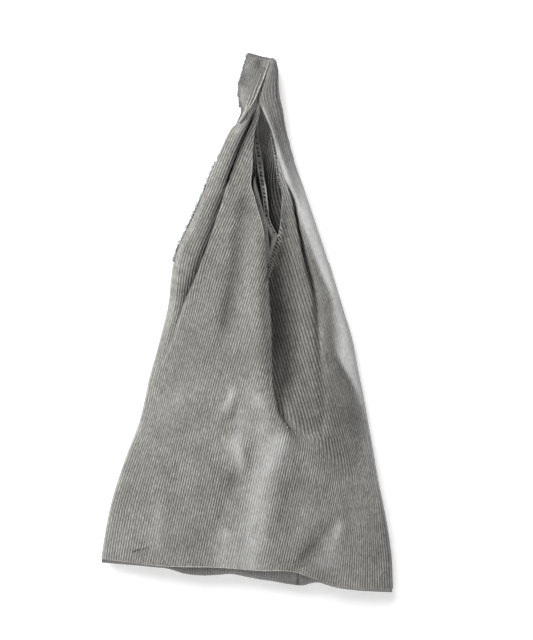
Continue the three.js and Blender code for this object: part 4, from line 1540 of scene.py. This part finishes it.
FINISH = {
    warm_grey: ("corduroy", [
        front_body, left_front, right_front, back_body, left_back, right_back, left_low, left_band,
        right_loop_front, left_loop_back, right_loop_back]),
    shaded_base_grey: ("corduroy_base", [base]),
    shaded_inside_grey: ("corduroy", [left_inside, right_inside, left_loop_inside, right_loop_inside]),
    seam_grey: ("seam_cloth", [
        hem_roll, side_rolls, left_mouth_roll, right_mouth_roll, inner_strip, inner_strip_up, inner_rails,
        inner_rails_up, sliver, mouth_corner, right_strip, right_strip_up, rib_ends, right_back_hem,
        right_loop_back_hem, band_hem, band_seam, tuck]),
    dark_thread: ("overlock_thread", [
        band_marks, left_armhole_thread, inner_thread, inner_thread_up, right_strip_thread,
        right_strip_thread_up]),
    pale_fibre: ("overlock_thread", [edge_knots, right_armhole_thread]),
    grey_fibre: ("overlock_thread", [band_knots, band_fray, left_armhole_fray, left_loop_fray]),
}
for mat, (slot_name, pieces) in FINISH.items():
    for obj in pieces:
        obj.data.materials.append(mat)
    print(mat.name, "on", len(pieces), "pieces")

# %% [markdown]
# ## Joining the bag to its joints
#
# The body rides on the root. A shoulder bends where it leaves the body, and a loop bends at its neck.
# Parenting a whole piece to one joint would tear the cloth there. Here the body pieces ride on the bag's body,
# and the shoulder and loop pieces only have their placement baked into their points; the bend line beside each
# group is not used.

# %% Ride, and baked placement
LEFT_BEND = ((-0.05, 0, -0.232), (-0.06, 0, -0.186))
RIGHT_BEND = ((0.05, 0, -0.232), (0.068, 0, -0.19))
NECK_BEND = ((0, 0, -0.118), (0, 0, -0.086))

BENDS = [
    ("bag_body", "left_shoulder", LEFT_BEND, [
        left_front, left_back, left_inside, left_mouth_roll, inner_strip, inner_thread, inner_rails, sliver,
        mouth_corner, left_armhole_thread, left_armhole_fray, edge_knots]),
    ("bag_body", "right_shoulder", RIGHT_BEND, [
        right_front, right_back, right_back_hem, right_inside, right_mouth_roll, right_strip,
        right_strip_thread, right_armhole_thread]),
    ("left_shoulder", "left_loop", NECK_BEND, [
        left_low, left_band, left_loop_back, left_loop_inside, inner_strip_up, inner_thread_up, inner_rails_up,
        band_hem, band_seam, band_marks, band_fray, left_loop_fray, band_knots]),
    ("right_shoulder", "right_loop", NECK_BEND, [
        right_loop_front, right_loop_back, right_loop_back_hem, right_loop_inside, right_strip_up,
        right_strip_thread_up]),
]
for obj in (front_body, back_body, base, hem_roll, side_rolls, tuck, rib_ends):
    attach(obj, "bag_body")
for fixed, moving, bend_line, pieces in BENDS:
    for obj in pieces:
        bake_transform(obj)
    print(len(pieces), "pieces bend from", fixed, "to", moving)

# %% Which plain solids the cloth replaces
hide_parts("front_panel")
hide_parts("left_side_seam", "right_side_seam")
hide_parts("front_bottom_seam")
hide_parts("back_panel", "back_bottom_seam")
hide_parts("bottom_panel")
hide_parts("left_shoulder_front")
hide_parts("left_mouth_hem_front")
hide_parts("left_armhole_overlock_front")
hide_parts("left_shoulder_back", "left_armhole_overlock_back")
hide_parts("left_mouth_hem_back")
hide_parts("right_shoulder_front")
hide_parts("right_mouth_hem_front")
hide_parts("right_armhole_overlock_front")
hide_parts("right_shoulder_back", "right_armhole_overlock_back")
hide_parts("right_mouth_hem_back")
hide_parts("left_strap_front")
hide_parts("left_strap_hem")
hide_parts("left_strap_top_seam")
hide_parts("left_strap_back")
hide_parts("left_strap_overlock")
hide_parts("right_strap_front", "right_strap_top_seam")
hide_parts("right_strap_back", "right_strap_overlock")
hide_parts("right_strap_hem")
print("cloth stands in for every plain solid")

# %% [markdown]
# ## Backdrop
#
# The bag hangs close in front of a white wall that takes a narrow soft shadow. A plain white paint would
# come out grey, so the camera sees it a little brighter than it is lit. The wall is clear from behind, so
# that the back of the bag can be looked at too.

# %% Backdrop
WALL_Y = 0.0152
FLOOR_Z = -1.3
WALL_HALF, WALL_TOP = 3, 2
FLOOR_HALF = 6
WALL_LIFT, FLOOR_LIFT = 0.34, 0.92


def white_surface(name, lift):
    """White paint that the camera sees a little brighter than lit, and that is clear from behind."""
    mat = bpy.data.materials.new(name)
    mat.use_nodes = True
    nodes, links = mat.node_tree.nodes, mat.node_tree.links
    nodes.clear()
    paint = nodes.new("ShaderNodeBsdfDiffuse")
    paint.inputs["Color"].default_value = (0.82, 0.82, 0.82, 1)
    glow = nodes.new("ShaderNodeEmission")
    path = nodes.new("ShaderNodeLightPath")
    scale = nodes.new("ShaderNodeMath")
    scale.operation = "MULTIPLY"
    scale.inputs[1].default_value = lift
    links.new(path.outputs["Is Camera Ray"], scale.inputs[0])
    links.new(scale.outputs[0], glow.inputs["Strength"])
    both = nodes.new("ShaderNodeAddShader")
    links.new(paint.outputs[0], both.inputs[0])
    links.new(glow.outputs[0], both.inputs[1])
    clear = nodes.new("ShaderNodeBsdfTransparent")
    facing = nodes.new("ShaderNodeNewGeometry")
    choose = nodes.new("ShaderNodeMixShader")
    links.new(facing.outputs["Backfacing"], choose.inputs[0])
    links.new(both.outputs[0], choose.inputs[1])
    links.new(clear.outputs[0], choose.inputs[2])
    out = nodes.new("ShaderNodeOutputMaterial")
    links.new(choose.outputs[0], out.inputs["Surface"])
    return mat


def plane(name, corners, mat):
    """One flat face with a material."""
    mesh = bpy.data.meshes.new(name)
    mesh.from_pydata(corners, [], [(0, 1, 2, 3)])
    obj = bpy.data.objects.new(name, mesh)
    obj.data.materials.append(mat)
    scene.collection.objects.link(obj)
    return obj


wall = plane("wall", [(-WALL_HALF, WALL_Y, FLOOR_Z), (WALL_HALF, WALL_Y, FLOOR_Z),
                      (WALL_HALF, WALL_Y, WALL_TOP), (-WALL_HALF, WALL_Y, WALL_TOP)],
             white_surface("wall_paint", WALL_LIFT))
floor = plane("floor", [(-FLOOR_HALF, -FLOOR_HALF, FLOOR_Z), (FLOOR_HALF, -FLOOR_HALF, FLOOR_Z),
                        (FLOOR_HALF, WALL_Y, FLOOR_Z), (-FLOOR_HALF, WALL_Y, FLOOR_Z)],
              white_surface("floor_paint", FLOOR_LIFT))
print("wall", round(1000 * WALL_Y), "mm behind the origin")

# %% [markdown]
# ## Light
#
# A large lamp at the upper left gives the folds their form, and a weak one at the right fills the rest.
# One set of lamps could light bag and wall together. Light linking lets these two reach the bag alone,
# and the wall has a wide lamp of its own, so its white and its shadow can be set without a change to the
# cloth. A rear lamp that only the bag can block shows the back in views from behind.

# %% Light
AIM = (0, 0, -0.35)
SKY, SKY_SEEN = 0.11, 1.0


def lamp(name, place, size, watts, lit, blocked_by=None):
    """A square lamp that looks at the bag and lights one collection."""
    data = bpy.data.lights.new(name, "AREA")
    data.size = size
    data.energy = watts
    obj = bpy.data.objects.new(name, data)
    obj.location = place
    obj.rotation_euler = Vector(np.array(AIM) - np.array(place)).to_track_quat("-Z", "Y").to_euler()
    scene.collection.objects.link(obj)
    obj.light_linking.receiver_collection = lit
    if blocked_by is not None:
        obj.light_linking.blocker_collection = blocked_by


backdrop = bpy.data.collections.new("backdrop")
for obj in (wall, floor):
    backdrop.objects.link(obj)
bag = bpy.data.collections.new("bag")
for _, pieces in FINISH.values():
    for obj in pieces:
        bag.objects.link(obj)

lamp("key", (-1.6, -1.45, 0.95), 0.9, 86, bag)
lamp("fill", (1.7, -1.35, 0.8), 1.2, 15, bag)
lamp("rear", (0.9, 2.0, 0.55), 1.3, 46, bag, blocked_by=bag)
lamp("wall_light", (-1.05, -2.0, 1.5), 2.2, 140, backdrop)

world = bpy.data.worlds.new("world")
scene.world = world
world.use_nodes = True
nodes, links = world.node_tree.nodes, world.node_tree.links
sky = nodes["Background"]
path = nodes.new("ShaderNodeLightPath")
level = nodes.new("ShaderNodeMapRange")
level.inputs["To Min"].default_value = SKY
level.inputs["To Max"].default_value = SKY_SEEN
links.new(path.outputs["Is Camera Ray"], level.inputs["Value"])
sky.inputs["Color"].default_value = (1, 1, 1, 1)
links.new(level.outputs[0], sky.inputs["Strength"])
scene.view_settings.view_transform = "Standard"

# %% [markdown]
# ## Cloth sheets and size
#
# Each piece of cloth is listed with the size it was cut to, so that somebody could cut it again. The mesh
# can't tell that size, because folds hide cloth. Widths are counted in ribs, so the body is as wide as its hem
# although the top looks narrow. Pieces that taper also get the area of their cut. The table also lists the
# pieces each one hangs from and the small parts that go with it; the script only prints each cut beside the
# area of its mesh.

# %% Cloth sheets and size
CUTS = [
    (front_body, 379, 400, None, [left_front, right_front], [hem_roll, side_rolls, tuck, rib_ends]),
    (back_body, 379, 400, 0.118, [left_back, right_back], []),
    (base, 379, 60, 0.015, [front_body, back_body], []),
    (left_front, 117, 132, 0.0095, [left_low],
     [left_mouth_roll, sliver, mouth_corner, left_armhole_thread, left_armhole_fray, edge_knots]),
    (right_front, 80, 132, 0.0055, [right_loop_front],
     [right_mouth_roll, right_strip, right_strip_thread, right_armhole_thread]),
    (left_back, 140, 131, 0.0113, [left_loop_back], [left_inside, inner_strip, inner_rails, inner_thread]),
    (right_back, 112, 131, 0.0083, [right_loop_back], [right_inside, right_back_hem]),
    (left_low, 57, 100, 0.0038, [left_band], [left_loop_fray]),
    (left_band, 29, 92, 0.0018, [left_loop_back], [band_hem, band_seam, band_marks, band_fray, band_knots]),
    (right_loop_front, 32, 132, 0.003, [right_loop_back], [right_strip_up, right_strip_thread_up]),
    (left_loop_back, 58, 137, 0.004, [left_band],
     [left_loop_inside, inner_strip_up, inner_rails_up, inner_thread_up]),
    (right_loop_back, 53, 131, 0.0036, [right_loop_front], [right_loop_inside, right_loop_back_hem]),
]
for obj, width, length, area, hangs_from, goes_with in CUTS:
    made = sum(p.area for p in obj.data.polygons)
    print(obj.name, "cut", width, "x", length, "mm, made", round(made, 4), "m2 with its ribs")
